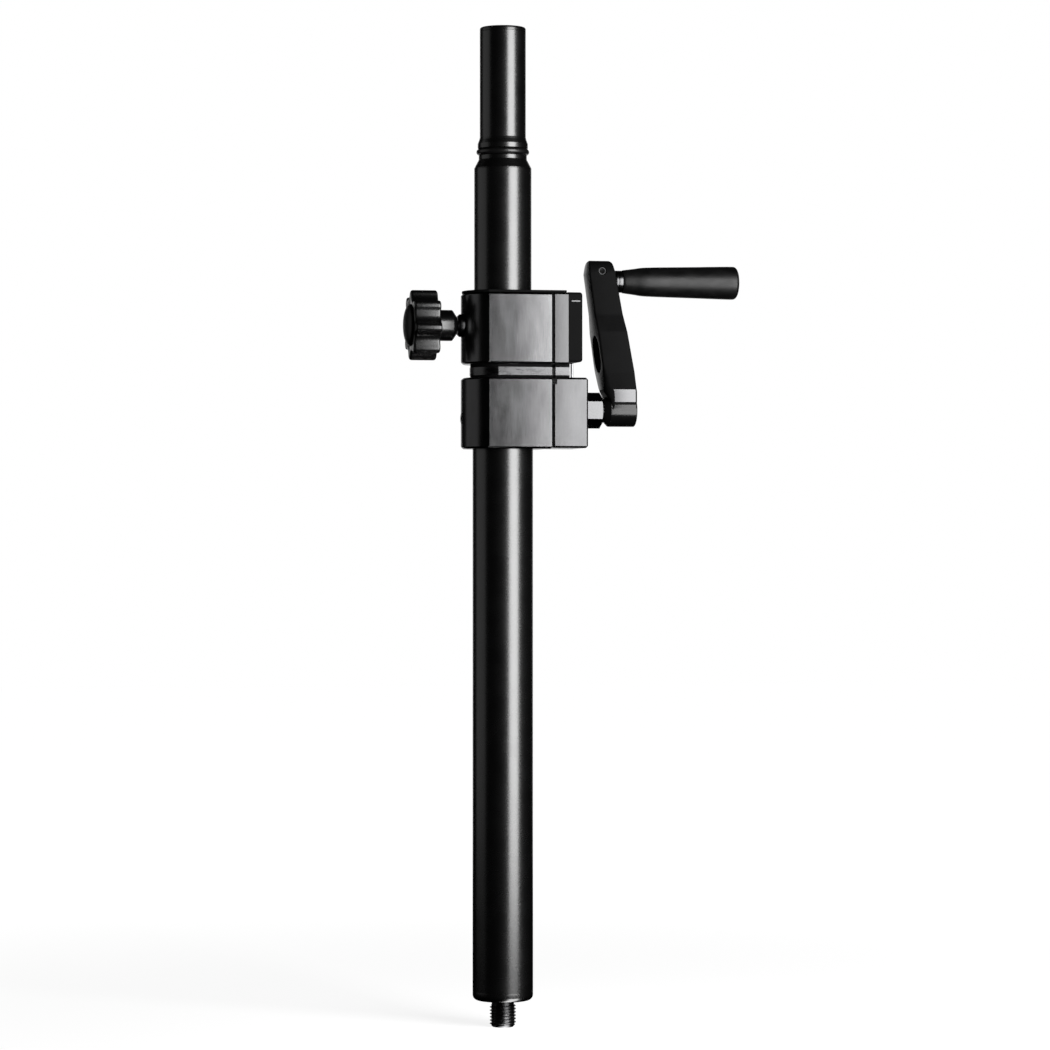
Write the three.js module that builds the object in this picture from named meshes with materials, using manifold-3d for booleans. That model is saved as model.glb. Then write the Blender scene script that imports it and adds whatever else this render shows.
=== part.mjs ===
// A crank-wound telescopic pole that carries a loudspeaker above a subwoofer.
// Millimetres, +Z up the pole, +X towards the crank, -Y towards the person who turns it.
// The origin is the centre of the lower end face of the threaded stud.
import * as THREE from 'three';
import { mergeVertices, toCreasedNormals } from 'three/addons/utils/BufferGeometryUtils.js';
import Module from 'manifold-3d';

const wasm = await Module();
wasm.setup();

// Fits shared by all the pieces
const pressGap = 0.15;
const runningGap = 0.15;
const seatGap = 0.1;
const restGap = 0.3;
const seamGap = 0.3;
const looseGap = 0.6;
const cutOverrun = 4;

// Outer tube, with the mast that slides in it
const poleRadius = 23;
const poleWall = 1;
const mastPlay = 0.2;
const mastWall = 2;
const poleExposedLength = 419.1;
const mastExposedLength = 92.8;
const liftTravel = 350;

// Threaded stud and the plug that holds it
const studRadius = 10;
const studReach = 20.3;
const studNeckRadius = 8.5;
const studNeckLength = 4.2;
const studChamfer = 2.2;
const studReliefSlope = 1;
const studDepth = 22;
const plugShoulderHeight = 6.8;
const plugShoulderFillet = 4.2;
const plugDepth = 26;
const bufferThickness = 4;
const bufferRadius = 16;
const bufferHoleRadius = 5;

// Winch block, neck and head block, each clamped round the outer tube
const blockWall = 8.55;
const blockFlatWall = 4.45;
const blockEndWall = 10.05;
const blockEdge = 1.5;
const seamChamfer = 1;
const lowerBlockHeight = 54;
const neckHeight = 10.2;
const neckWall = 2.15;
const neckFlatWall = 0.75;
const upperBlockHeight = 53.9;
const topPlateThickness = 1.9;
const topPlateInset = 0.8;

// Rope, drum and pulley
const ropeRadius = 1;
const ropeInset = 0.5;
const ropeTurnPitch = 2.45;
const ropeDeadTurns = 2.5;
const drumCoreRadius = 6;
const drumFlangeRadius = 12.6;
const drumFlangeThickness = 1.3;
const drumCavityGap = 1.2;
const brakeLiningThickness = 1.2;
const brakeLiningRadius = 10.5;
const pulleyPitchRadius = 16.8;
const pulleyLip = 0.4;
const pulleyHalfThickness = 2.3;
const pulleySideGap = 0.8;
const pulleyTipGap = 0.7;
const pulleyRise = 28.8;
const axleRadius = 2.5;
const axleHalfLength = 13;

// Drum housing on the winch block
const housingDepth = 27.1;
const housingWall = 3.6;
const housingCorner = 1.9;
const housingDrop = 0.6;
const housingNotchWidth = 3;
const housingNotchHeight = 5;
const crankRise = 30.1;
const endBushRadius = 6.2;
const endBushDepth = 7;

// Pulley bracket on the head block, and its cover
const bracketDepth = 12.1;
const bracketCorner = 1.6;
const bracketFootSetback = 3.3;
const bracketFootDepth = 10.1;
const coverReach = 11.1;
const coverHalfWidth = 24.5;
const coverWall = 1.3;
const coverCorner = 2;
const coverCornerShare = 0.25;
const coverHeight = 53;
const coverRise = 0.7;
const coverRopeGap = 1.1;
const latchLength = 7;
const latchHeight = 1.2;
const latchProud = 0.7;
const latchFromTop = 7.4;

// Guide bush with the tongue that keeps the mast from turning
const guideBushHeight = 5.6;
const guideTongueGap = 0.4;

// Crank shaft, its bearing, the arm and the handle
const shaftRadius = 6;
const shaftNeckRadius = 4;
const bearingAcrossFlats = 24.5;
const bearingHexLength = 18.5;
const bearingNoseRadius = 8;
const bearingChamfer = 1.6;
const crankLength = 99.2;
const hubRadius = 12.4;
const hubGap = 0.8;
const hubLength = 24.9;
const hubInnerChamfer = 4.2;
const hubOuterChamfer = 0.8;
const hubRecessRadius = 7.8;
const hubRecessDepth = 5.6;
const crankWasherRadius = 7.2;
const crankWasherThickness = 1.4;
const crankScrewRadius = 2.5;
const crankScrewLength = 14;
const crankScrewHeadRadius = 4.25;
const crankScrewHeadHeight = 3.4;
const armFootProud = 0.6;
const armFootRise = 14.6;
const armFootThickness = 25.1;
const armTopThickness = 20.2;
const armLean = 13.1;
const armTopRise = 15.8;
const armTopHalfWidth = 11.25;
const armWideHalfWidth = 16;
const armWaistHalfWidth = 13;
const armWaistRise = 7;
const armFlareRise = 29;
const armWidenRise = 59.7;
const armNarrowRise = 73.7;
const armEdgeWidth = 1.3;
const armEdgeHeight = 2.2;
const pocketHalfWidth = 10.5;
const pocketLength = 29;
const pocketDepth = 6;
const pocketRise = 43.2;
const handleShankRadius = 6;
const handleCollarRadius = 8.5;
const handleJournalRadius = 4.5;
const rollPinRadius = 3;
const rollPinBoreRadius = 1.9;
const rollPinBite = 1.5;
const rollPinInset = 10.7;
const rollPinRecess = 1.5;
const handleBoreWall = 3;
const gripStart = 6.2;
const gripLength = 90.8;
const gripRecessRadius = 8;
const gripRecessDepth = 5;
const gripScrewRadius = 2;
const gripScrewLength = 14;
const gripScrewHeadRadius = 3.5;
const gripScrewHeadHeight = 2.8;
const gripWasherThickness = 1.2;
const gripWasherPlay = 0.9;
const gripEndRadius = 12.7;

// Radius of the grip at shares of its length, a slim neck that swells to a full end
const gripProfileShares = [
  [0, 0.689], [0.058, 0.744], [0.102, 0.787], [0.144, 0.843], [0.186, 0.874], [0.227, 0.882],
  [0.4, 0.912], [0.656, 0.953], [0.745, 0.972], [0.919, 1], [0.967, 1],
  [0.984, 0.965], [0.996, 0.87], [1, 0.78],
];

// Lock knob, its screw and the pad that presses on the mast
const lockRise = 29.5;
const lockPitch = 1.25;
const lockTurns = 2;
const lockScrewRadius = 4;
const lockPadRadius = 4.6;
const lockPadThickness = 3;
const insertBodyRadius = 7;
const insertFlangeRadius = 8.65;
const insertFlangeThickness = 5;
const insertChamfer = 1.7;
const spotFaceDepth = 1.3;
const knobGap = 0.8;
const knobHubRadius = 11.45;
const knobHubLength = 15.1;
const knobHubConeLength = 3.3;
const knobHubEndRadius = 7.15;
const knobLobeLength = 20.6;
const knobTipRadius = 26.3;
const knobScallopDepth = 6.2;
const knobLobes = 6;
const knobTurn = -0.2;
const knobScallopPower = 1.7;
const knobEdge = 1.5;
const knobCapRadius = 15.7;
const knobCapSeat = 1;
const knobDome = 4;
const knobDomeSteps = 4;
const lockScrewInKnob = 20;

// Head adapter with the 35 mm spigot
const spigotRadius = 17.5;
const spigotLength = 80.4;
const spigotWall = 3;
const adapterPlugDepth = 32;
const headConeHeight = 7.4;
const headNeckRadius = 18.3;
const headNeckHeight = 3.2;
const headBandRadius = 19.1;
const headBandHeight = 4.1;
const headFlareHeight = 4.5;
const headSolidRise = 24;
const oRingSink = 3;
const oRingProud = 1.8;
const oRingGrooveHeight = 5;
const capFlangeHeight = 3.4;
const capFillet = 1.3;
const capPlugDepth = 12;

// Mast foot and rope anchor
const footHeight = 14;
const footPlugDepth = 18;
const footBoreRadius = 10;
const ferruleRadius = 2.3;
const ferruleLength = 7;
const ferruleGap = 0.4;
const ferruleInset = 0.2;

// Fasteners
const housingScrewRadius = 2.5;
const housingScrewHeadRadius = 4.25;
const housingScrewHeadHeight = 5;
const housingScrewGrip = 9;
const housingScrewInset = 7;
const bracketScrewRadius = 2;
const bracketScrewHeadRadius = 3.5;
const bracketScrewHeadHeight = 4;
const bracketScrewSpread = 17;
const bracketScrewInset = 8;
const plateScrewRadius = 1.5;
const plateScrewHeadRadius = 2.8;
const plateScrewHeadHeight = 1.4;
const plateScrewLength = 6;
const plateScrewInset = 6.4;
const plateScrewSpread = Math.PI / 3;
const grubRadius = 2.5;
const grubHeadRadius = 4;
const grubHeadHeight = 1.9;
const grubProud = 0.5;
const grubSeatDepth = 1.4;
const grubRise = 23.2;
const socketShare = 0.5;

// Roundness of the turned surfaces, as numbers of flats
const largeRound = 44;
const mediumRound = 28;
const smallRound = 12;
const filletSteps = 3;
const ropeSides = 8;
const oRingSides = 8;
const windingSides = 6;
const windingSteps = 24;

// Sizes that follow from those above
const poleBoreRadius = poleRadius - poleWall;
const mastRadius = poleBoreRadius - mastPlay;
const mastBoreRadius = mastRadius - mastWall;
const clampRadius = poleRadius + pressGap;
const blockRadius = clampRadius + blockWall;
const blockHalfWidth = clampRadius + blockFlatWall;
const blockReach = clampRadius + blockEndWall;
const sideStart = blockReach + seamGap;
const housingReach = sideStart + housingDepth;
const housingInnerReach = housingReach - housingWall;
const bracketReach = sideStart + bracketDepth;
const coverStart = bracketReach + seamGap;
const coverEnd = coverStart + coverReach;

const shoulderZ = studReach;
const tubeStartZ = shoulderZ + plugShoulderHeight + seatGap;
const plugTopZ = tubeStartZ + plugDepth;
const bufferZ = plugTopZ + seatGap;
const footZ = bufferZ + bufferThickness + restGap;
const mastStartZ = footZ + footHeight + seatGap;
const lowerBlockZ = shoulderZ + poleExposedLength;
const neckZ = lowerBlockZ + lowerBlockHeight;
const upperBlockZ = neckZ + neckHeight;
const upperBlockTopZ = upperBlockZ + upperBlockHeight;
const topPlateTopZ = upperBlockTopZ + topPlateThickness;
const coverZ = upperBlockTopZ + coverRise - coverHeight;
const tubeTopZ = upperBlockTopZ - guideBushHeight - seatGap;
const mastTopZ = topPlateTopZ + mastExposedLength;
const crankZ = lowerBlockZ + crankRise;
const pulleyZ = upperBlockZ + pulleyRise;
const lockZ = upperBlockZ + lockRise;

const ropeInnerX = mastRadius - ropeRadius - ropeInset;
const pulleyX = ropeInnerX + pulleyPitchRadius;
const ropeOuterX = pulleyX + pulleyPitchRadius;
const ferruleX = mastRadius - ferruleRadius - ferruleInset;
const pulleyRadius = pulleyPitchRadius + ropeRadius + pulleyLip;
const grooveFloorX = pulleyX - pulleyRadius - pulleyTipGap;
const grooveHalfWidth = pulleyHalfThickness + pulleySideGap;
const slotHalfWidth = grooveHalfWidth;
const slotStartZ = pulleyZ - pulleyRadius - pulleySideGap;
const slotTopZ = pulleyZ + pulleyRadius + pulleySideGap;
const mastRidgeHalfWidth = grooveHalfWidth + mastWall;
const mastRidgeX = grooveFloorX - mastWall;
const deadLayerRadius = drumCoreRadius + ropeRadius + pressGap;
const windingRadius = deadLayerRadius + 2 * ropeRadius + pressGap;
const crankY = windingRadius;
const cavityRadius = drumFlangeRadius + drumCavityGap;

// Turns a geometry into a closed solid that can be cut and joined
function solid(geometry) {
  const bare = geometry.clone();
  bare.deleteAttribute('normal');
  bare.deleteAttribute('uv');
  const merged = mergeVertices(bare);
  const vertProperties = new Float32Array(merged.attributes.position.array);
  const triVerts = new Uint32Array(outwardTriangles(vertProperties, merged.index.array));
  return new wasm.Manifold(new wasm.Mesh({ numProp: 3, vertProperties, triVerts }));
}

// Drops triangles without area and makes the rest face outwards, by the sign of the volume
function outwardTriangles(points, indices) {
  const kept = [];
  let volume = 0;
  const corner = [new THREE.Vector3(), new THREE.Vector3(), new THREE.Vector3()];
  for (let i = 0; i < indices.length; i += 3) {
    const [a, b, c] = [indices[i], indices[i + 1], indices[i + 2]];
    if (a === b || b === c || c === a) continue;
    kept.push(a, b, c);
    [a, b, c].forEach((index, k) => corner[k].fromArray(points, 3 * index));
    volume += corner[0].dot(corner[1].cross(corner[2]));
  }
  return volume < 0 ? kept.reverse() : kept;
}

// Gives a solid back as a geometry with sharp edges kept sharp
function geometryOf(shape) {
  const mesh = shape.getMesh();
  const geometry = new THREE.BufferGeometry();
  geometry.setAttribute('position', new THREE.BufferAttribute(new Float32Array(mesh.vertProperties), 3));
  geometry.setIndex(new THREE.BufferAttribute(new Uint32Array(mesh.triVerts), 1));
  return toCreasedNormals(geometry);
}

// A named sub-part at its place
function piece(name, shape, material, x = 0, y = 0, z = 0) {
  const mesh = new THREE.Mesh(geometryOf(shape), material);
  mesh.name = name;
  mesh.position.set(x, y, z);
  return mesh;
}

// Angles that divide a quarter turn into even steps, both ends included
function quarterAngles(steps) {
  return Array.from({ length: steps + 1 }, (_, step) => step * Math.PI / 2 / steps);
}

function cut(shape, tools) {
  return tools.reduce((rest, tool) => rest.subtract(tool), shape);
}

// A solid of revolution about Z from [radius, z] points
function turnedZ(profile, flats = largeRound) {
  const points = profile.map(([radius, height]) => new THREE.Vector2(radius, height));
  return solid(new THREE.LatheGeometry(points, flats).rotateX(Math.PI / 2));
}

// The same about X, from [radius, x] points
function turnedX(profile, flats = mediumRound) {
  const points = profile.map(([radius, height]) => new THREE.Vector2(radius, height));
  return solid(new THREE.LatheGeometry(points, flats).rotateZ(-Math.PI / 2));
}

// The same about Y, from [radius, y] points
function turnedY(profile, flats = mediumRound) {
  const points = profile.map(([radius, height]) => new THREE.Vector2(radius, height));
  return solid(new THREE.LatheGeometry(points, flats));
}

// A ring's closed profile between two radii and two heights
function ringProfile(inner, outer, low, high) {
  return [[inner, low], [outer, low], [outer, high], [inner, high], [inner, low]];
}

// A plain rod's profile
function rodProfile(radius, low, high) {
  return [[0, low], [radius, low], [radius, high], [0, high]];
}

function boxBetween([x0, y0, z0], [x1, y1, z1]) {
  const geometry = new THREE.BoxGeometry(x1 - x0, y1 - y0, z1 - z0);
  return solid(geometry.translate((x0 + x1) / 2, (y0 + y1) / 2, (z0 + z1) / 2));
}

// A slab of a flat outline from z = 0 up, its upper and lower edges rounded by edge
function slab(shape, height, edge, curveSegments = smallRound) {
  const geometry = new THREE.ExtrudeGeometry(shape, {
    depth: height - 2 * edge,
    bevelEnabled: edge > 0,
    bevelThickness: edge,
    bevelSize: edge,
    bevelOffset: -edge,
    bevelSegments: 2,
    curveSegments,
  });
  return solid(geometry.translate(0, 0, edge));
}

// Outline of a block that is round at its back and square where its side piece meets it
function roundBackOutline(radius, halfWidth, reach, chamfer) {
  const spread = Math.asin(halfWidth / radius);
  const shape = new THREE.Shape();
  shape.moveTo(reach, chamfer - halfWidth);
  shape.lineTo(reach, halfWidth - chamfer);
  shape.lineTo(reach - chamfer, halfWidth);
  shape.absarc(0, 0, radius, Math.PI - spread, Math.PI + spread, false);
  shape.lineTo(reach - chamfer, -halfWidth);
  return shape;
}

// Adds a quarter circle of four chords to an outline, from the given angle on
function roundCorner(shape, x, y, radius, from) {
  [0, 1, 2, 3, 4].forEach((step) => {
    const angle = from + step * Math.PI / 8;
    shape.lineTo(x + radius * Math.cos(angle), y + radius * Math.sin(angle));
  });
}

// Outline of a side piece: chamfered at its seam, rounded at its outer corners
function sideOutline(start, end, halfWidth, chamfer, corner) {
  const shape = new THREE.Shape();
  shape.moveTo(start + chamfer, -halfWidth);
  roundCorner(shape, end - corner, corner - halfWidth, corner, -Math.PI / 2);
  roundCorner(shape, end - corner, halfWidth - corner, corner, 0);
  shape.lineTo(start + chamfer, halfWidth);
  shape.lineTo(start, halfWidth - chamfer);
  shape.lineTo(start, chamfer - halfWidth);
  return shape;
}

// Outline of a hexagon with one flat facing -Y
function hexagon(acrossFlats) {
  const corner = acrossFlats / Math.sqrt(3);
  const shape = new THREE.Shape();
  for (let i = 0; i < 6; i += 1) {
    const angle = i * Math.PI / 3;
    const point = [corner * Math.cos(angle), corner * Math.sin(angle)];
    if (i === 0) shape.moveTo(...point);
    else shape.lineTo(...point);
  }
  return shape;
}

// A socket head screw along X: its head starts at x = 0 and its shank runs towards -X
function socketScrewX(headRadius, headHeight, shankRadius, shankLength) {
  const body = turnedX([
    [0, -shankLength], [shankRadius, -shankLength], [shankRadius, 0],
    [headRadius, 0], [headRadius, headHeight], [0, headHeight],
  ], smallRound);
  const depth = headHeight * socketShare;
  const socket = slab(hexagon(2 * headRadius * socketShare), depth + cutOverrun, 0)
    .rotate([0, 90, 0])
    .translate([headHeight - depth, 0, 0]);
  return body.subtract(socket);
}

function finish(color, roughness, metalness) {
  return new THREE.MeshStandardMaterial({ color, roughness, metalness });
}

const satinBlack = finish(0x101011, 0.3, 0.5);
const blockBlack = finish(0x262628, 0.35, 0.6);
const armBlack = finish(0x161617, 0.55, 0.2);
const plasticBlack = finish(0x0d0d0e, 0.45, 0);
const gripBlack = finish(0x1b1b1c, 0.5, 0.1);
const rubberBlack = finish(0x0b0b0b, 0.7, 0);
const brightSteel = finish(0xb9bcc0, 0.3, 1);
const darkSteel = finish(0x2c2d30, 0.35, 0.9);
const brass = finish(0xb08d4a, 0.35, 1);
const guideNylon = finish(0x3a3a3c, 0.5, 0);
const liningBrown = finish(0x4a3a2c, 0.9, 0);

// Stud, plug and buffer at the foot of the outer tube

function threadedStud() {
  const shape = turnedZ([
    [0, 0], [studRadius - studChamfer, 0], [studRadius, studChamfer],
    [studRadius, studReach - studNeckLength], [studNeckRadius, studReach - studNeckLength + studReliefSlope],
    [studNeckRadius, studReach + seatGap], [studRadius, studReach + studNeckLength],
    [studRadius, studReach + studDepth], [0, studReach + studDepth],
  ], mediumRound);
  return piece('threaded_stud', shape, darkSteel);
}

function tubeEndPlug() {
  const shoulderTop = plugShoulderHeight;
  const plugRadius = poleBoreRadius - pressGap;
  const boreRadius = studRadius + pressGap;
  const fillet = quarterAngles(filletSteps).map((angle) => {
    const radius = poleRadius - plugShoulderFillet * (1 - Math.sin(angle));
    return [radius, plugShoulderFillet * (1 - Math.cos(angle))];
  });
  const shape = turnedZ([
    [boreRadius, 0], ...fillet, [poleRadius, shoulderTop], [plugRadius, shoulderTop],
    [plugRadius, shoulderTop + plugDepth], [0, shoulderTop + plugDepth],
    [0, studDepth + pressGap], [boreRadius, studDepth + pressGap], [boreRadius, 0],
  ]);
  return piece('tube_end_plug', shape, satinBlack, 0, 0, shoulderZ);
}

function stopBuffer() {
  const shape = turnedZ(ringProfile(bufferHoleRadius, bufferRadius, 0, bufferThickness), mediumRound);
  return piece('stop_buffer', shape, rubberBlack, 0, 0, bufferZ);
}

function lowerTube() {
  const length = tubeTopZ - tubeStartZ;
  const wall = turnedZ(ringProfile(poleBoreRadius, poleRadius, 0, length));
  const pulleySlot = boxBetween(
    [0, -slotHalfWidth, slotStartZ - tubeStartZ],
    [poleRadius + cutOverrun, slotHalfWidth, length + cutOverrun],
  );
  const padHole = turnedX(rodProfile(lockPadRadius + restGap, -poleRadius - cutOverrun, 0), smallRound)
    .translate([0, 0, lockZ - tubeStartZ]);
  const grubHole = turnedX(rodProfile(grubRadius + pressGap, -poleRadius - cutOverrun, 0), smallRound)
    .translate([0, 0, lowerBlockZ + grubRise - tubeStartZ]);
  return piece('lower_tube', cut(wall, [pulleySlot, padHole, grubHole]), satinBlack, 0, 0, tubeStartZ);
}

// Winch block with its drum housing, and the neck above it

function housingScrewPlaces(height) {
  const side = blockHalfWidth - housingScrewInset;
  const low = housingScrewInset;
  const high = height - housingScrewInset;
  return [[-side, low], [side, low], [-side, high], [side, high]];
}

function screwHoles(places, radius, from, to) {
  return places.map(([y, z]) => turnedX(rodProfile(radius, from, to), smallRound).translate([0, y, z]));
}

function lowerBlock() {
  const outline = roundBackOutline(blockRadius, blockHalfWidth, blockReach, seamChamfer);
  const body = slab(outline, lowerBlockHeight, blockEdge);
  const tubeBore = turnedZ(rodProfile(clampRadius, -cutOverrun, lowerBlockHeight + cutOverrun));
  const endBore = turnedX(rodProfile(
    endBushRadius + pressGap, blockReach - endBushDepth, blockReach + cutOverrun,
  )).translate([0, crankY, crankRise]);
  const grubBore = turnedX(rodProfile(grubRadius + pressGap, -blockRadius - cutOverrun, 0), smallRound)
    .translate([0, 0, grubRise]);
  const grubSeat = turnedX(
    rodProfile(grubHeadRadius + pressGap, -blockRadius - cutOverrun, grubSeatDepth - blockRadius),
    smallRound,
  ).translate([0, 0, grubRise]);
  const tapped = screwHoles(
    housingScrewPlaces(lowerBlockHeight), housingScrewRadius + pressGap,
    blockReach - housingScrewGrip - seatGap, blockReach + cutOverrun,
  );
  const shape = cut(body, [tubeBore, endBore, grubBore, grubSeat, ...tapped]);
  return piece('lower_block', shape, blockBlack, 0, 0, lowerBlockZ);
}

function drumHousing() {
  const outline = sideOutline(sideStart, housingReach, blockHalfWidth, seamChamfer, housingCorner);
  const body = slab(outline, lowerBlockHeight - housingDrop, blockEdge).translate([0, 0, housingDrop]);
  const cavity = turnedX(rodProfile(cavityRadius, sideStart - cutOverrun, housingInnerReach))
    .translate([0, crankY, crankRise]);
  const bearingHole = turnedX(rodProfile(bearingNoseRadius + pressGap, 0, housingReach + cutOverrun))
    .translate([0, crankY, crankRise]);
  const ropeHole = turnedZ(rodProfile(2 * ropeRadius, crankRise, lowerBlockHeight + cutOverrun), smallRound)
    .translate([ropeOuterX, 0, 0]);
  const notch = boxBetween(
    [sideStart - cutOverrun, -blockHalfWidth - cutOverrun, lowerBlockHeight - housingNotchHeight],
    [sideStart + housingNotchWidth, blockHalfWidth + cutOverrun, lowerBlockHeight + cutOverrun],
  );
  const places = housingScrewPlaces(lowerBlockHeight);
  const holes = screwHoles(places, housingScrewRadius + pressGap, 0, housingReach + cutOverrun);
  const seats = screwHoles(
    places, housingScrewHeadRadius + pressGap,
    housingReach - housingScrewHeadHeight - seatGap, housingReach + cutOverrun,
  );
  const shape = cut(body, [cavity, bearingHole, ropeHole, notch, ...holes, ...seats]);
  return piece('drum_housing', shape, blockBlack, 0, 0, lowerBlockZ);
}

function housingScrews() {
  const seat = housingReach - housingScrewHeadHeight;
  const shank = seat - blockReach + housingScrewGrip;
  const shape = socketScrewX(
    housingScrewHeadRadius, housingScrewHeadHeight - seatGap, housingScrewRadius, shank,
  );
  return housingScrewPlaces(lowerBlockHeight).map(([y, z], i) => (
    piece(`housing_screw_${i + 1}`, shape, darkSteel, seat, y, lowerBlockZ + z)
  ));
}

function tubeLockScrew() {
  const headX = grubProud - blockRadius;
  const shape = turnedX([
    [0, -blockRadius - grubProud], [grubHeadRadius - grubProud, -blockRadius - grubProud],
    [grubHeadRadius, -blockRadius], [grubHeadRadius, headX + grubHeadHeight - 2 * grubProud - seatGap],
    [grubRadius, headX + grubHeadHeight - 2 * grubProud - seatGap],
    [grubRadius, restGap - poleRadius], [0, restGap - poleRadius],
  ], smallRound);
  return piece('tube_lock_screw', shape, darkSteel, 0, 0, lowerBlockZ + grubRise);
}

function neckCollar() {
  const height = neckHeight - 2 * seatGap;
  const outline = roundBackOutline(clampRadius + neckWall, clampRadius + neckFlatWall, blockReach, 0);
  const bore = turnedZ(rodProfile(clampRadius, -cutOverrun, height + cutOverrun));
  return piece('neck_collar', slab(outline, height, 0).subtract(bore), blockBlack, 0, 0, neckZ + seatGap);
}

// Head block with the pulley bracket, its cover and the top plate

function bracketScrewPlaces() {
  const low = bracketScrewInset;
  const high = upperBlockHeight - bracketScrewInset;
  const side = bracketScrewSpread;
  return [[-side, low], [side, low], [-side, high], [side, high]];
}

function plateScrewPlaces() {
  const backRadius = clampRadius + blockWall / 2;
  const back = [-backRadius * Math.cos(plateScrewSpread), backRadius * Math.sin(plateScrewSpread)];
  const front = [blockReach - plateScrewInset, blockHalfWidth - plateScrewInset];
  return [back, front].flatMap(([x, y]) => [[x, y], [x, -y]]);
}

function pulleySlot(low, high) {
  return boxBetween([0, -slotHalfWidth, low], [bracketReach + cutOverrun, slotHalfWidth, high]);
}

function upperBlock() {
  const outline = roundBackOutline(blockRadius, blockHalfWidth, blockReach, seamChamfer);
  const body = slab(outline, upperBlockHeight, blockEdge);
  const tubeBore = turnedZ(rodProfile(clampRadius, -cutOverrun, upperBlockHeight + cutOverrun));
  const slot = pulleySlot(slotStartZ - upperBlockZ, slotTopZ - upperBlockZ);
  const insertBore = turnedX(rodProfile(
    insertBodyRadius + pressGap, -blockRadius - cutOverrun, insertEndX + seatGap,
  )).translate([0, 0, lockRise]);
  const padBore = turnedX(rodProfile(lockPadRadius + restGap, -blockRadius, 0), smallRound)
    .translate([0, 0, lockRise]);
  const spotFace = turnedX(rodProfile(insertFlangeRadius + restGap, -blockRadius - cutOverrun, spotFaceX))
    .translate([0, 0, lockRise]);
  const tapped = screwHoles(
    bracketScrewPlaces(), bracketScrewRadius + pressGap,
    blockReach - housingScrewGrip - seatGap, blockReach + cutOverrun,
  );
  const plateHole = turnedZ(rodProfile(
    plateScrewRadius + pressGap, upperBlockHeight - plateScrewLength, upperBlockHeight + cutOverrun,
  ), smallRound);
  const plateHoles = plateScrewPlaces().map(([x, y]) => plateHole.translate([x, y, 0]));
  const shape = cut(body, [tubeBore, slot, insertBore, padBore, spotFace, ...tapped, ...plateHoles]);
  return piece('upper_block', shape, blockBlack, 0, 0, upperBlockZ);
}

function pulleyBracket() {
  const outline = sideOutline(sideStart, bracketReach, blockHalfWidth, seamChamfer, bracketCorner);
  const plate = slab(outline, upperBlockHeight, blockEdge);
  const footStart = sideStart + bracketFootSetback;
  const foot = boxBetween(
    [footStart, -clampRadius - neckFlatWall, seatGap - neckHeight],
    [footStart + bracketFootDepth, clampRadius + neckFlatWall, coverZ - upperBlockZ - seamGap],
  );
  const slot = pulleySlot(slotStartZ - upperBlockZ, slotTopZ - upperBlockZ);
  const axleEnd = axleRadius + pressGap;
  const grooveHalfLength = axleHalfLength + restGap;
  const axleGroove = turnedY(rodProfile(axleEnd, -grooveHalfLength, grooveHalfLength), smallRound)
    .translate([pulleyX, 0, pulleyRise]);
  const axleMouth = boxBetween(
    [0, -grooveHalfLength, pulleyRise - axleEnd],
    [pulleyX, grooveHalfLength, pulleyRise + axleEnd],
  );
  const holes = screwHoles(bracketScrewPlaces(), bracketScrewRadius + pressGap, 0, bracketReach + cutOverrun);
  const seats = screwHoles(
    bracketScrewPlaces(), bracketScrewHeadRadius + pressGap,
    bracketReach - bracketScrewHeadHeight - seatGap, bracketReach + cutOverrun,
  );
  const shape = cut(plate.add(foot), [slot, axleGroove, axleMouth, ...holes, ...seats]);
  return piece('pulley_bracket', shape, blockBlack, 0, 0, upperBlockZ);
}

function bracketScrews() {
  const seat = bracketReach - bracketScrewHeadHeight;
  const shank = seat - blockReach + housingScrewGrip;
  const shape = socketScrewX(
    bracketScrewHeadRadius, bracketScrewHeadHeight - seatGap, bracketScrewRadius, shank,
  );
  return bracketScrewPlaces().map(([y, z], i) => (
    piece(`bracket_screw_${i + 1}`, shape, darkSteel, seat, y, upperBlockZ + z)
  ));
}

// A box with rounded edges all round, seen along X, that reaches as far behind x = 0 as in front
function pillow(halfWidth, height, corner, depth) {
  const round = corner * (1 + coverCornerShare);
  const shape = new THREE.Shape();
  shape.moveTo(round, -halfWidth);
  roundCorner(shape, height - round, round - halfWidth, round, -Math.PI / 2);
  roundCorner(shape, height - round, halfWidth - round, round, 0);
  roundCorner(shape, round, halfWidth - round, round, Math.PI / 2);
  roundCorner(shape, round, round - halfWidth, round, Math.PI);
  return slab(shape, 2 * depth, corner)
    .translate([0, 0, -depth])
    .rotate([0, 90, 0])
    .translate([0, 0, height]);
}

function pulleyCover() {
  const shell = pillow(coverHalfWidth, coverHeight, coverCorner, coverReach);
  const inside = coverReach - coverWall;
  const hollow = boxBetween(
    [-inside, coverWall - coverHalfWidth, coverWall],
    [inside, coverHalfWidth - coverWall, coverHeight - coverWall],
  );
  const ropeWay = boxBetween(
    [-inside, -ropeRadius - coverRopeGap, -cutOverrun],
    [ropeOuterX - coverStart + ropeRadius + coverRopeGap / 2, ropeRadius + coverRopeGap, 2 * coverWall],
  );
  const latchStart = (coverReach - latchLength) / 2;
  const latchZ = coverHeight - latchFromTop;
  const latchSide = coverHalfWidth + latchProud;
  const latches = boxBetween(
    [latchStart, -latchSide, latchZ],
    [latchStart + latchLength, latchSide, latchZ + latchHeight],
  );
  const front = boxBetween(
    [0, -latchSide - cutOverrun, -cutOverrun],
    [coverReach + cutOverrun, latchSide + cutOverrun, coverHeight + cutOverrun],
  );
  const shape = cut(shell.add(latches), [hollow, ropeWay]).intersect(front);
  return piece('pulley_cover', shape, plasticBlack, coverStart, 0, coverZ);
}

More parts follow.
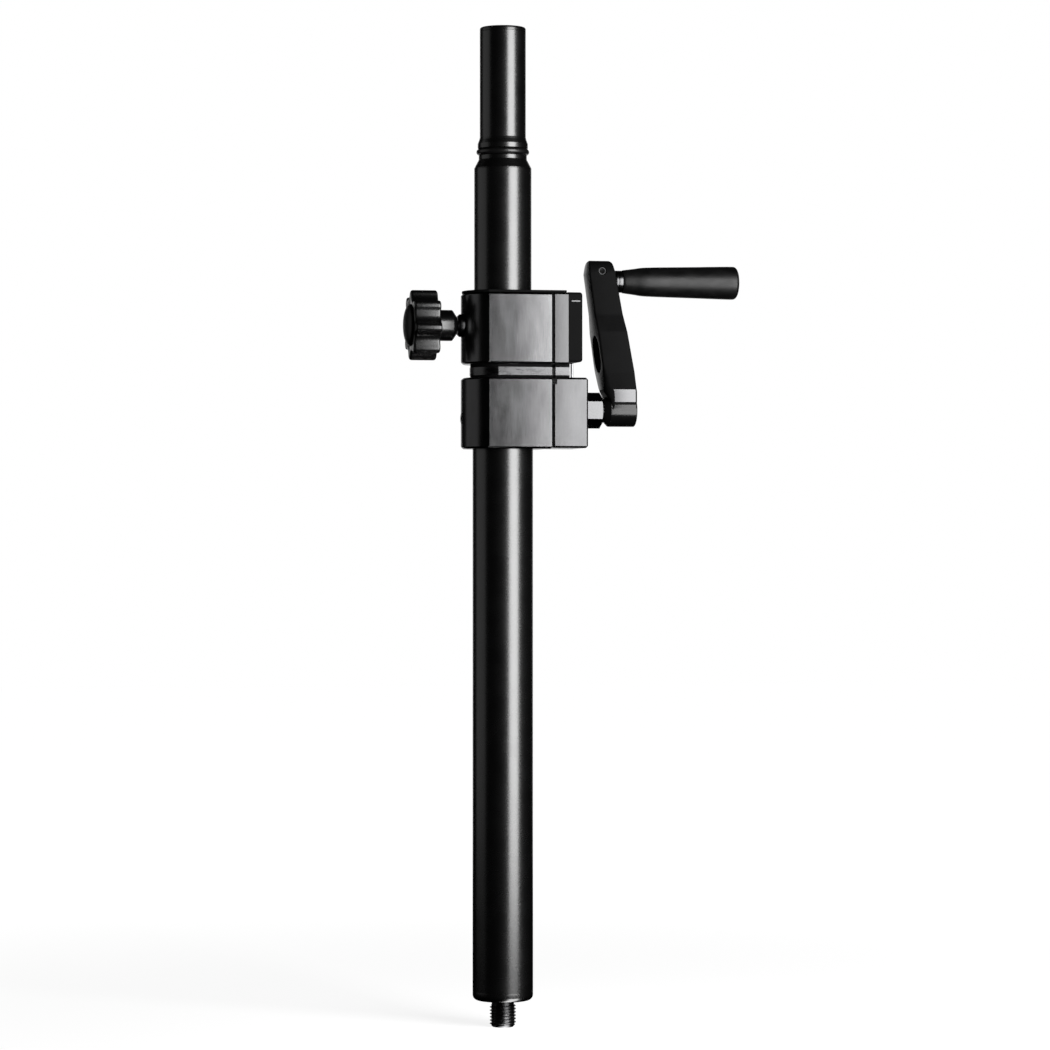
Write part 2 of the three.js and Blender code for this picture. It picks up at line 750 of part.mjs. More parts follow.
function topPlate() {
  const start = bracketReach - topPlateInset;
  const outline = roundBackOutline(
    blockRadius - topPlateInset, blockHalfWidth - topPlateInset, start, 2 * topPlateInset,
  );
  const height = topPlateThickness - seatGap;
  const body = slab(outline, height, height / 3);
  const bore = turnedZ(rodProfile(poleBoreRadius + pressGap, -cutOverrun, height + cutOverrun));
  const holes = plateScrewPlaces().map(([x, y]) => (
    turnedZ([
      [0, -cutOverrun], [plateScrewRadius + pressGap, -cutOverrun],
      [plateScrewRadius + pressGap, height - plateScrewHeadHeight],
      [plateScrewHeadRadius + pressGap, height], [plateScrewHeadRadius + pressGap, height + cutOverrun],
      [0, height + cutOverrun],
    ], smallRound).translate([x, y, 0])
  ));
  return piece('top_plate', cut(body, [bore, ...holes]), plasticBlack, 0, 0, upperBlockTopZ + seatGap);
}

function topPlateScrews() {
  const top = topPlateThickness - seatGap;
  const body = turnedZ([
    [0, restGap - plateScrewLength], [plateScrewRadius, restGap - plateScrewLength],
    [plateScrewRadius, top - plateScrewHeadHeight],
    [plateScrewHeadRadius, top], [0, top],
  ], smallRound);
  const socket = slab(hexagon(2 * plateScrewHeadRadius * socketShare), cutOverrun, 0)
    .translate([0, 0, top - plateScrewHeadHeight * socketShare]);
  const shape = body.subtract(socket);
  return plateScrewPlaces().map(([x, y], i) => (
    piece(`top_plate_screw_${i + 1}`, shape, darkSteel, x, y, upperBlockTopZ)
  ));
}

function topGuideBush() {
  const inner = poleBoreRadius - mastPlay / 4;
  const ring = turnedZ(ringProfile(inner, poleRadius, 0, guideBushHeight));
  const tongue = boxBetween(
    [grooveFloorX + guideTongueGap, guideTongueGap - grooveHalfWidth, 0],
    [poleRadius - poleWall / 2, grooveHalfWidth - guideTongueGap, guideBushHeight],
  );
  return piece('top_guide_bush', ring.add(tongue), guideNylon, 0, 0, tubeTopZ + seatGap / 2);
}

// Pulley, axle and rope

function pulleyAxle() {
  const shape = turnedY(rodProfile(axleRadius, -axleHalfLength, axleHalfLength), smallRound);
  return piece('pulley_axle', shape, brightSteel, pulleyX, 0, pulleyZ);
}

function ropePulley() {
  const seatRadius = pulleyPitchRadius - ropeRadius - restGap;
  const rim = pulleyHalfThickness;
  const seat = ropeRadius + restGap;
  const groove = [-2, -1, 0, 1, 2].map((step) => {
    const angle = step * Math.PI / 4;
    return [pulleyPitchRadius - seat * Math.cos(angle), seat * Math.sin(angle)];
  });
  const profile = [
    [axleRadius + runningGap, -rim], [pulleyRadius, -rim], [pulleyRadius, -seat],
    ...groove, [pulleyRadius, seat], [pulleyRadius, rim], [axleRadius + runningGap, rim],
    [axleRadius + runningGap, -rim],
  ];
  const web = turnedY(profile, mediumRound);
  const holeCount = 6;
  const holeRadius = (seatRadius - axleRadius) / 5;
  const holes = Array.from({ length: holeCount }, (_, i) => {
    const angle = i * 2 * Math.PI / holeCount;
    const reach = (seatRadius + axleRadius) / 2;
    return turnedY(rodProfile(holeRadius, -rim - cutOverrun, rim + cutOverrun), smallRound)
      .translate([reach * Math.cos(angle), 0, reach * Math.sin(angle)]);
  });
  return piece('rope_pulley', cut(web, holes), guideNylon, pulleyX, 0, pulleyZ);
}

// Centre line of the rope from the drum up to the pulley and over it, in the plane y = 0
class RopeOverPulley extends THREE.Curve {
  getPoint(t, target = new THREE.Vector3()) {
    const rise = pulleyZ - crankZ;
    const along = t * (rise + Math.PI * pulleyPitchRadius);
    if (along < rise) return target.set(ropeOuterX, 0, crankZ + along);
    const angle = (along - rise) / pulleyPitchRadius;
    return target.set(
      pulleyX + pulleyPitchRadius * Math.cos(angle), 0, pulleyZ + pulleyPitchRadius * Math.sin(angle),
    );
  }
}

// Centre line of the layer of rope that always stays on the drum, from its outer flange inwards
class DeadTurns extends THREE.Curve {
  getPoint(t, target = new THREE.Vector3()) {
    const angle = Math.PI + t * ropeDeadTurns * 2 * Math.PI;
    const x = ropeOuterX - t * ropeDeadTurns * ropeTurnPitch;
    return target.set(x, deadLayerRadius * Math.cos(angle), deadLayerRadius * Math.sin(angle));
  }
}

function polygon(radius, sides) {
  const shape = new THREE.Shape();
  for (let i = 0; i < sides; i += 1) {
    const angle = (i + 0.5) * 2 * Math.PI / sides;
    const point = [radius * Math.cos(angle), radius * Math.sin(angle)];
    if (i === 0) shape.moveTo(...point);
    else shape.lineTo(...point);
  }
  return shape;
}

function tubeAlong(path, radius, sides, steps) {
  const options = { extrudePath: path, steps, bevelEnabled: false };
  return solid(new THREE.ExtrudeGeometry(polygon(radius, sides), options));
}

// Least gap between turns that lie at least half a turn apart along the rope
function leastTurnGap(path, radius, samples) {
  const points = path.getPoints(samples);
  const apart = Math.round(samples / ropeDeadTurns / 2);
  let least = Infinity;
  for (let i = 0; i < points.length; i += 1) {
    for (let j = i + apart; j < points.length; j += 1) {
      least = Math.min(least, points[i].distanceTo(points[j]) - 2 * radius);
    }
  }
  return least;
}

function ropeOuterRun() {
  const path = new RopeOverPulley();
  const length = pulleyZ - crankZ + Math.PI * pulleyPitchRadius;
  const steps = Math.round(length / (4 * ropeRadius));
  return piece('rope_outer_run', tubeAlong(path, ropeRadius, ropeSides, steps), brightSteel);
}

function ropeInnerRun() {
  const low = footZ + ferruleLength + 2 * ferruleGap;
  const shape = turnedZ(rodProfile(ropeRadius, low, pulleyZ - restGap), ropeSides);
  return piece('rope_inner_run', shape, brightSteel, ropeInnerX, 0, 0);
}

function drumRope() {
  const path = new DeadTurns();
  const gap = leastTurnGap(path, ropeRadius, Math.round(ropeDeadTurns * windingSteps * 4));
  console.log(`drum rope: least gap between its turns ${gap.toFixed(2)} mm`);
  const steps = Math.round(ropeDeadTurns * windingSteps);
  return piece('drum_rope', tubeAlong(path, ropeRadius, windingSides, steps), brightSteel);
}

// Mast with its foot, rope anchor and head

function mastTube() {
  const outer = new THREE.Shape();
  const grooveAngle = Math.asin(grooveHalfWidth / mastRadius);
  outer.moveTo(grooveFloorX, -grooveHalfWidth);
  outer.lineTo(grooveFloorX, grooveHalfWidth);
  outer.absarc(0, 0, mastRadius, grooveAngle, 2 * Math.PI - grooveAngle, false);
  const inner = new THREE.Path();
  const ridgeAngle = Math.asin(mastRidgeHalfWidth / mastBoreRadius);
  inner.moveTo(mastRidgeX, -mastRidgeHalfWidth);
  inner.lineTo(mastRidgeX, mastRidgeHalfWidth);
  inner.absarc(0, 0, mastBoreRadius, ridgeAngle, 2 * Math.PI - ridgeAngle, false);
  outer.holes.push(inner);
  return piece('mast_tube', slab(outer, mastTopZ - mastStartZ, 0, largeRound), satinBlack, 0, 0, mastStartZ);
}

// Room for the ridge that stands inside the mast behind its rope groove
function ridgeRoom(low, high) {
  return boxBetween(
    [mastRidgeX - restGap, -mastRidgeHalfWidth - restGap, low],
    [mastRadius + cutOverrun, mastRidgeHalfWidth + restGap, high],
  );
}

function mastFoot() {
  const flange = turnedZ(ringProfile(footBoreRadius, mastRadius, 0, footHeight));
  const plugRadius = mastBoreRadius - pressGap;
  const plugEnd = footHeight + footPlugDepth;
  const plug = turnedZ(ringProfile(footBoreRadius, plugRadius, footHeight - seatGap, plugEnd))
    .subtract(ridgeRoom(footHeight, footHeight + footPlugDepth + cutOverrun));
  const ferruleRoom = turnedZ(
    rodProfile(ferruleRadius + ferruleGap, -cutOverrun, ferruleLength + 2 * ferruleGap), smallRound,
  ).translate([ferruleX, 0, 0]);
  const ropeWay = boxBetween(
    [ropeInnerX - ropeRadius - ferruleGap, -ropeRadius - ferruleGap, 0],
    [mastRadius + cutOverrun, ropeRadius + ferruleGap, footHeight + cutOverrun],
  );
  const shape = cut(flange.add(plug), [ferruleRoom, ropeWay]);
  return piece('mast_foot', shape, guideNylon, 0, 0, footZ);
}

function ropeFerrule() {
  const shape = turnedZ(rodProfile(ferruleRadius, 0, ferruleLength), smallRound);
  return piece('rope_ferrule', shape, brass, ferruleX, 0, footZ + ferruleGap);
}

function headAdapter() {
  const plugRadius = mastBoreRadius - pressGap;
  const neckTop = headConeHeight + headNeckHeight;
  const bandBottom = neckTop + oRingGrooveHeight;
  const bandTop = bandBottom + headBandHeight;
  const spigotStart = bandTop + headFlareHeight;
  const top = spigotStart + spigotLength;
  const flare = quarterAngles(filletSteps).map((angle) => {
    const drop = headFlareHeight * Math.sin(angle);
    return [spigotRadius + (headBandRadius - spigotRadius) * Math.cos(angle), bandTop + drop];
  });
  const grooveRadius = headNeckRadius - oRingSink;
  const bore = spigotRadius - spigotWall;
  const profile = [
    [0, -adapterPlugDepth], [plugRadius, -adapterPlugDepth], [plugRadius, 0], [mastRadius, 0],
    [headNeckRadius, headConeHeight], [headNeckRadius, neckTop], [grooveRadius, neckTop],
    [grooveRadius, bandBottom], [headBandRadius, bandBottom], ...flare,
    [spigotRadius, top], [bore, top], [bore, headSolidRise], [0, headSolidRise],
  ];
  const shape = turnedZ(profile).subtract(ridgeRoom(-adapterPlugDepth - cutOverrun, -seatGap));
  return piece('head_adapter', shape, satinBlack, 0, 0, mastTopZ + seatGap);
}

function headORing() {
  const inner = headNeckRadius - oRingSink + pressGap;
  const outer = headNeckRadius + oRingProud;
  const halfWidth = (outer - inner) / 2;
  const halfHeight = oRingGrooveHeight / 2 - seatGap;
  const points = Array.from({ length: oRingSides }, (_, i) => {
    const angle = i * 2 * Math.PI / oRingSides;
    return [inner + halfWidth * (1 + Math.cos(angle)), halfHeight * Math.sin(angle)];
  });
  const height = mastTopZ + headConeHeight + headNeckHeight + oRingGrooveHeight / 2;
  return piece('head_o_ring', turnedZ([...points, points[0]]), rubberBlack, 0, 0, height + seatGap);
}

function spigotEndCap() {
  const plugRadius = spigotRadius - spigotWall - pressGap;
  const rim = quarterAngles(filletSteps).map((angle) => [
    spigotRadius - capFillet * (1 - Math.cos(angle)),
    capFlangeHeight - capFillet * (1 - Math.sin(angle)),
  ]);
  const shape = turnedZ([
    [0, -capPlugDepth], [plugRadius, -capPlugDepth], [plugRadius, 0], [spigotRadius, 0], ...rim,
    [0, capFlangeHeight],
  ]);
  const spigotStart = headConeHeight + headNeckHeight + oRingGrooveHeight + headBandHeight + headFlareHeight;
  const seatZ = mastTopZ + spigotStart + spigotLength + seatGap;
  return piece('spigot_end_cap', shape, plasticBlack, 0, 0, seatZ);
}

// Crank, built about its own axis, which runs along X

const bearingEndX = housingReach + seatGap + bearingHexLength;
const armStartX = bearingEndX + hubGap;
const armEndX = armStartX + hubLength;
const shaftEndX = armEndX - hubRecessDepth - seatGap;
const drumEndX = housingInnerReach - restGap;
const drumZoneEndX = ropeOuterX + ropeRadius + restGap;
const drumZoneStartX = ropeOuterX - ropeDeadTurns * ropeTurnPitch - ropeRadius - restGap;
const drumStartX = blockReach + seatGap + brakeLiningThickness + looseGap;

function hexBearing() {
  const hex = slab(hexagon(bearingAcrossFlats), bearingHexLength, 0).rotate([0, 90, 0]);
  const corner = bearingAcrossFlats / Math.sqrt(3);
  const blank = turnedX([
    [0, 0], [corner + bearingChamfer, 0], [corner + bearingChamfer, bearingHexLength - 2 * bearingChamfer],
    [bearingAcrossFlats / 2 - bearingChamfer / 2, bearingHexLength], [0, bearingHexLength],
  ]);
  const head = hex.intersect(blank).translate([housingReach + seatGap, 0, 0]);
  const nose = turnedX(rodProfile(bearingNoseRadius, housingInnerReach + restGap, housingReach + restGap));
  const bore = turnedX(rodProfile(shaftRadius + runningGap, 0, armEndX));
  return piece('hex_bearing', head.add(nose).subtract(bore), darkSteel, 0, crankY, crankZ);
}

function drumEndBush() {
  const start = blockReach - endBushDepth + seatGap;
  const shape = turnedX(ringProfile(shaftNeckRadius + runningGap, endBushRadius, start, blockReach));
  return piece('drum_end_bush', shape, brass, 0, crankY, crankZ);
}

function crankShaft() {
  const stepX = housingInnerReach + restGap;
  const start = blockReach - endBushDepth + looseGap;
  const shape = turnedX([
    [0, start], [shaftNeckRadius, start], [shaftNeckRadius, stepX], [shaftRadius, stepX],
    [shaftRadius, shaftEndX], [crankScrewRadius + pressGap, shaftEndX],
    [crankScrewRadius + pressGap, shaftEndX - crankScrewLength], [0, shaftEndX - crankScrewLength],
  ]);
  return piece('crank_shaft', shape, brightSteel);
}

function ropeDrum() {
  const profile = [
    [shaftNeckRadius + pressGap, drumStartX], [drumCoreRadius, drumStartX],
    [drumCoreRadius, drumZoneStartX - drumFlangeThickness],
    [drumFlangeRadius, drumZoneStartX - drumFlangeThickness], [drumFlangeRadius, drumZoneStartX],
    [drumCoreRadius, drumZoneStartX], [drumCoreRadius, drumZoneEndX], [drumFlangeRadius, drumZoneEndX],
    [drumFlangeRadius, drumEndX], [shaftNeckRadius + pressGap, drumEndX],
    [shaftNeckRadius + pressGap, drumStartX],
  ];
  return piece('rope_drum', turnedX(profile), darkSteel);
}

function brakeLining() {
  const start = blockReach + seatGap + restGap;
  const end = start + brakeLiningThickness;
  const profile = ringProfile(shaftNeckRadius + runningGap, brakeLiningRadius, start, end);
  return piece('brake_lining', turnedX(profile), liningBrown);
}

function crankWasher() {
  const start = armEndX - hubRecessDepth + seatGap;
  const end = start + crankWasherThickness;
  const profile = ringProfile(crankScrewRadius + pressGap, crankWasherRadius, start, end);
  return piece('crank_washer', turnedX(profile), brightSteel);
}

function crankScrew() {
  const seat = armEndX - hubRecessDepth + 2 * seatGap + crankWasherThickness;
  const shape = socketScrewX(crankScrewHeadRadius, crankScrewHeadHeight, crankScrewRadius, crankScrewLength)
    .translate([seat, 0, 0]);
  return piece('crank_screw', shape, darkSteel);
}

// The arm seen along X: a round top, a wide middle, a waist and the round hub
function armBroadOutline() {
  const top = crankLength + armTopRise - armTopHalfWidth;
  const middle = (armWidenRise + armNarrowRise) / 2;
  const shape = new THREE.Shape();
  shape.moveTo(armWaistHalfWidth, armWaistRise);
  shape.lineTo(armWaistHalfWidth, armFootRise);
  shape.lineTo(armWideHalfWidth, armFlareRise);
  shape.lineTo(armWideHalfWidth, armWidenRise);
  shape.bezierCurveTo(armWideHalfWidth, middle, armTopHalfWidth, middle, armTopHalfWidth, armNarrowRise);
  shape.absarc(0, top, armTopHalfWidth, 0, Math.PI, false);
  shape.lineTo(-armTopHalfWidth, armNarrowRise);
  shape.bezierCurveTo(-armTopHalfWidth, middle, -armWideHalfWidth, middle, -armWideHalfWidth, armWidenRise);
  shape.lineTo(-armWideHalfWidth, armFlareRise);
  shape.lineTo(-armWaistHalfWidth, armFootRise);
  shape.lineTo(-armWaistHalfWidth, armWaistRise);
  shape.absarc(0, 0, hubRadius, Math.PI, 2 * Math.PI, false);
  return shape;
}

// The arm seen along Y: it leans back towards the pole and thickens towards the hub
function armSideOutline() {
  const top = crankLength + armTopRise;
  const foot = armStartX - armFootProud;
  const head = foot - armLean;
  const hubStart = armStartX + hubInnerChamfer;
  const shape = new THREE.Shape();
  shape.moveTo(hubStart, -hubRadius);
  shape.lineTo(foot + armFootThickness, -hubRadius);
  shape.lineTo(foot + armFootThickness, armFootRise);
  shape.lineTo(head + armTopThickness, top - armEdgeHeight);
  shape.lineTo(head + armTopThickness - armEdgeWidth, top);
  shape.lineTo(head + armEdgeWidth, top);
  shape.lineTo(head, top - armEdgeHeight);
  shape.lineTo(foot, armFootRise);
  shape.lineTo(hubStart, armWaistRise);
  return shape;
}

// Where the arm's inner face stands at a height above the crank axis
function armInnerX(height) {
  const top = crankLength + armTopRise - armEdgeHeight;
  return armStartX - armFootProud - armLean * (height - armFootRise) / (top - armFootRise);
}

// Where its outer face stands
function armOuterX(height) {
  const top = crankLength + armTopRise - armEdgeHeight;
  const share = (height - armFootRise) / (top - armFootRise);
  return armInnerX(height) + armFootThickness + (armTopThickness - armFootThickness) * share;
}

function armPocket() {
  const shape = new THREE.Shape();
  const straight = pocketLength / 2 - pocketHalfWidth;
  shape.absarc(0, straight, pocketHalfWidth, 0, Math.PI, false);
  shape.absarc(0, -straight, pocketHalfWidth, Math.PI, 2 * Math.PI, false);
  const floorX = armInnerX(pocketRise) + pocketDepth;
  return slab(shape, 4 * pocketDepth, 0, ropeSides)
    .rotate([90, 0, 0]).rotate([0, 0, 90])
    .translate([floorX - 4 * pocketDepth, 0, pocketRise]);
}

function crankArm() {
  const broad = slab(armBroadOutline(), 3 * armFootThickness, 0, smallRound)
    .rotate([90, 0, 0]).rotate([0, 0, 90])
    .translate([armStartX - armFootThickness, 0, 0]);
  const side = slab(armSideOutline(), 3 * armWideHalfWidth, 0)
    .rotate([90, 0, 0])
    .translate([0, 1.5 * armWideHalfWidth, 0]);
  const hub = turnedX([
    [0, armStartX], [hubRadius - hubInnerChamfer, armStartX], [hubRadius, armStartX + hubInnerChamfer],
    [hubRadius, armEndX - hubOuterChamfer], [hubRadius - hubOuterChamfer, armEndX], [0, armEndX],
  ]);
  const body = broad.intersect(side).add(hub);
  const shaftBore = turnedX(rodProfile(shaftRadius + pressGap, armStartX - cutOverrun, armEndX));
  const recess = turnedX(rodProfile(hubRecessRadius, armEndX - hubRecessDepth, armEndX + cutOverrun));
  const handleBore = turnedX(rodProfile(handleShankRadius + pressGap, handleBoreX, armEndX))
    .translate([0, 0, crankLength]);
  const spotFace = turnedX(rodProfile(handleCollarRadius + restGap, handleFaceX, armEndX))
    .translate([0, 0, crankLength]);
  const tools = [armPocket(), shaftBore, recess, handleBore, spotFace, rollPinBore()];
  return piece('crank_arm', cut(body, tools), armBlack);
}

const rollPinRise = crankLength + handleShankRadius - rollPinBite + rollPinRadius;
const rollPinX = armInnerX(rollPinRise) + rollPinInset;

function rollPinBore() {
  return turnedY(rodProfile(rollPinRadius + pressGap, -2 * armTopHalfWidth, 2 * armTopHalfWidth), smallRound)
    .translate([rollPinX, 0, rollPinRise]);
}

function handleRollPin() {
  const half = armTopHalfWidth - rollPinRecess;
  const profile = ringProfile(rollPinBoreRadius, rollPinRadius, -half, half);
  return piece('handle_roll_pin', turnedY(profile, smallRound), brightSteel, rollPinX, 0, rollPinRise);
}

// Handle, built about its own axis, which runs along X at the top of the arm

const handleBoreX = armInnerX(crankLength) + handleBoreWall;
const handleFaceX = armOuterX(crankLength);
const collarStartX = handleFaceX + restGap;
const gripStartX = handleFaceX + gripStart;
const gripEndX = gripStartX + gripLength;
const gripFloorX = gripEndX - gripRecessDepth;

function handlePin() {
  const grooveHalf = rollPinRadius + looseGap;
  const grooveRadius = handleShankRadius - rollPinBite - restGap;
  const shankStart = handleBoreX + restGap;
  const shape = turnedX([
    [0, shankStart], [handleShankRadius, shankStart], [handleShankRadius, rollPinX - grooveHalf],
    [grooveRadius, rollPinX - grooveHalf], [grooveRadius, rollPinX + grooveHalf],
    [handleShankRadius, rollPinX + grooveHalf], [handleShankRadius, collarStartX],
    [handleCollarRadius, collarStartX], [handleCollarRadius, gripStartX - restGap],
    [handleJournalRadius, gripStartX - restGap], [handleJournalRadius, gripFloorX + seatGap],
    [gripScrewRadius + pressGap, gripFloorX + seatGap],
    [gripScrewRadius + pressGap, gripFloorX - gripScrewLength], [0, gripFloorX - gripScrewLength],
  ], mediumRound);
  return piece('handle_pin', shape, brightSteel, 0, 0, crankLength);
}

function gripWasher() {
  const start = gripFloorX + 2 * seatGap;
  const shape = turnedX(ringProfile(
    gripScrewRadius + pressGap, gripRecessRadius - gripWasherPlay, start, start + gripWasherThickness,
  ));
  return piece('grip_washer', shape, brightSteel, 0, 0, crankLength);
}

function gripScrew() {
  const seat = gripFloorX + seamGap + gripWasherThickness;
  const shape = socketScrewX(gripScrewHeadRadius, gripScrewHeadHeight, gripScrewRadius, gripScrewLength)
    .translate([seat, 0, 0]);
  return piece('grip_screw', shape, darkSteel, 0, 0, crankLength);
}

function handleGrip() {
  const bore = handleJournalRadius + runningGap;
  const outside = gripProfileShares.map(([along, wide]) => (
    [gripEndRadius * wide, gripStartX + gripLength * along]
  ));
  const shape = turnedX([
    [bore, gripStartX], ...outside, [gripRecessRadius, gripEndX], [gripRecessRadius, gripFloorX + seatGap],
    [bore, gripFloorX + seatGap], [bore, gripStartX],
  ]);
  return piece('handle_grip', shape, gripBlack, 0, 0, crankLength);
}

// Lock knob with its screw and pad, built about the knob's own axis, which runs along -X

const spotFaceX = spotFaceDepth - blockRadius;
const insertFaceX = spotFaceX - seatGap - insertFlangeThickness;
const lockTravel = lockTurns * lockPitch;
const padFrontX = -mastRadius - restGap;
const padBackX = padFrontX - lockPadThickness;
const insertEndX = padBackX - lockTravel - restGap;
const knobStartX = insertFaceX - knobGap;
const knobLobeStartX = knobStartX - knobHubLength;
const knobFaceX = knobLobeStartX - knobLobeLength;

function lockInsert() {
  const seat = spotFaceX - seatGap;
  const bore = lockScrewRadius + runningGap;
  const shape = turnedX([
    [bore, insertEndX], [insertBodyRadius, insertEndX], [insertBodyRadius, seat],
    [insertFlangeRadius, seat], [insertFlangeRadius, insertFaceX + insertChamfer],
    [insertFlangeRadius - insertChamfer, insertFaceX], [bore, insertFaceX], [bore, insertEndX],
  ]);
  return piece('lock_insert', shape, darkSteel, 0, 0, lockZ);
}

function lockPad() {
  const disc = turnedX(rodProfile(lockPadRadius, padBackX, 0), smallRound);
  const reach = lockPadRadius + cutOverrun;
  const mastSide = turnedZ(rodProfile(mastRadius + restGap, -reach, reach));
  return piece('lock_pad', disc.subtract(mastSide), brass);
}

function lockScrew() {
  const profile = rodProfile(lockScrewRadius, knobStartX - lockScrewInKnob, padBackX - restGap);
  const shape = turnedX(profile, smallRound);
  return piece('lock_screw', shape, brightSteel);
}

// The knob's outline: as many even scallops as it has lobes, with broad lobes between them
function knobOutline() {
  const samples = knobLobes * smallRound;
  const shape = new THREE.Shape();
  for (let i = 0; i < samples; i += 1) {
    const angle = i * 2 * Math.PI / samples;
    const wave = 0.5 - 0.5 * Math.cos(knobLobes * (angle - knobTurn));
    const radius = knobTipRadius - knobScallopDepth * wave ** knobScallopPower;
    const point = [radius * Math.cos(angle), radius * Math.sin(angle)];
    if (i === 0) shape.moveTo(...point);
    else shape.lineTo(...point);
  }
  return shape;
}

function lockKnob() {
  const lobes = slab(knobOutline(), knobLobeLength, knobEdge)
    .rotate([0, -90, 0])
    .translate([knobLobeStartX, 0, 0]);
  const hub = turnedX([
    [0, knobLobeStartX - knobEdge], [knobHubRadius, knobLobeStartX - knobEdge],
    [knobHubRadius, knobStartX - knobHubConeLength], [knobHubEndRadius, knobStartX], [0, knobStartX],
  ]);
  const screwBore = turnedX(rodProfile(
    lockScrewRadius + pressGap, knobStartX - lockScrewInKnob - restGap, knobStartX + cutOverrun,
  ), smallRound);
  const capSeat = turnedX(rodProfile(
    knobCapRadius + pressGap, knobFaceX - cutOverrun, knobFaceX + knobCapSeat,
  ));
  return piece('lock_knob', cut(lobes.add(hub), [screwBore, capSeat]), plasticBlack);
}

function knobCap() {
  const rim = knobFaceX + knobCapSeat - seatGap;
  const dome = quarterAngles(knobDomeSteps).slice(0, -1).map((angle) => (
    [knobCapRadius * Math.cos(angle), knobFaceX - knobDome * Math.sin(angle)]
  ));
  const profile = [[0, rim], [knobCapRadius, rim], ...dome, [0, knobFaceX - knobDome]];
  return piece('knob_cap', turnedX(profile), plasticBlack);
}

function groupOf(pieces, x = 0, y = 0, z = 0) {
  const group = new THREE.Group();
  group.add(...pieces);
  group.position.set(x, y, z);
  return group;
}

const foot = groupOf([threadedStud(), tubeEndPlug(), stopBuffer(), lowerTube()]);
const winch = groupOf([
  lowerBlock(), drumHousing(), ...housingScrews(), tubeLockScrew(), hexBearing(), drumEndBush(),
]);
const head = groupOf([
  neckCollar(), upperBlock(), pulleyBracket(), ...bracketScrews(), pulleyCover(), topPlate(),
  ...topPlateScrews(), topGuideBush(), pulleyAxle(), ropePulley(), ropeOuterRun(), ropeInnerRun(),
  lockInsert(),
]);
const mast = groupOf([mastTube(), mastFoot(), ropeFerrule(), headAdapter(), headORing(), spigotEndCap()]);
const crank = groupOf([
  crankShaft(), ropeDrum(), drumRope(), brakeLining(), crankArm(), crankWasher(), crankScrew(),
  handleRollPin(), handlePin(), gripWasher(), gripScrew(), handleGrip(),
], 0, crankY, crankZ);
const lock = groupOf([lockPad(), lockScrew(), lockKnob(), knobCap()], 0, 0, lockZ);

const speakerPole = groupOf([foot, winch, head, mast, crank, lock]);
const crankTurns = liftTravel / windingRadius / 2 / Math.PI;
console.log(`lift ${liftTravel} mm, ${crankTurns.toFixed(2)} turns of the crank`);

export default speakerPole;
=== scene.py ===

# %% [markdown]
# # Dressing a crank-wound speaker pole
# The solids of this pole come from a CAD model, with flat facets and no thread on the stud. Here every
# visible piece gets its real surface: round tubes, rounded block edges, a thread, strands in the rope,
# and coats that shine, scatter and wear as they do on stage gear. Lengths are in millimetres until the
# moment a mesh is made, because that is how the drawing of such a pole is dimensioned.

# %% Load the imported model
import math

import bmesh
import bpy
import numpy as np
from mathutils import Matrix


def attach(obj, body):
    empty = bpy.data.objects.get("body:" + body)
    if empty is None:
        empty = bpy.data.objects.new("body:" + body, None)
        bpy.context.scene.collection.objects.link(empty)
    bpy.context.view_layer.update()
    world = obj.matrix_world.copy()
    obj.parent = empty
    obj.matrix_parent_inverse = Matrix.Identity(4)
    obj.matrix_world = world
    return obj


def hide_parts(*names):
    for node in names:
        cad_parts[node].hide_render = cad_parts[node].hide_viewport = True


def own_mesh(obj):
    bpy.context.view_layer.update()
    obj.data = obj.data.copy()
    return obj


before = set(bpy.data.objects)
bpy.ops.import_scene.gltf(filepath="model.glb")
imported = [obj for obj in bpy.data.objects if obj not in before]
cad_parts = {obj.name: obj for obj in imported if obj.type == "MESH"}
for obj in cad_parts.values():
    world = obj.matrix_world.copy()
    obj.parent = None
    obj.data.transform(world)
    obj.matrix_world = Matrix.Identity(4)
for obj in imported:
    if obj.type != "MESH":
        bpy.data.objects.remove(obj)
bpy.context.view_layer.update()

# %% [markdown]
# ## Materials
# Almost everything here is black, so the eye reads the pieces by how they shine. A powder coat has a
# fine orange peel, a brushed coat has streaks along the way it was brushed, moulded plastic has a soft
# grain and steel has turning lines. Each finish is a small node tree: one noise for a slow change of
# tone and gloss over centimetres, and a second, finer one for the grain that the light catches.

# %% A finish with slow variation and fine grain
GRAIN_SHARE = 0.35
NOISE_LOW = 0.4
NOISE_HIGH = 0.95
BUMP_DEPTH = 0.00005


def pattern(nodes, links, scale, stretch, detail):
    """A noise on a piece's own coordinates, which are divided along x, y and z by stretch."""
    place = nodes.new("ShaderNodeTexCoord")
    turn = nodes.new("ShaderNodeMapping")
    turn.inputs["Scale"].default_value = [1 / s for s in stretch]
    links.new(place.outputs["Object"], turn.inputs["Vector"])
    noise = nodes.new("ShaderNodeTexNoise")
    noise.inputs["Scale"].default_value = scale
    noise.inputs["Detail"].default_value = detail
    links.new(turn.outputs["Vector"], noise.inputs["Vector"])
    return noise.outputs["Fac"]


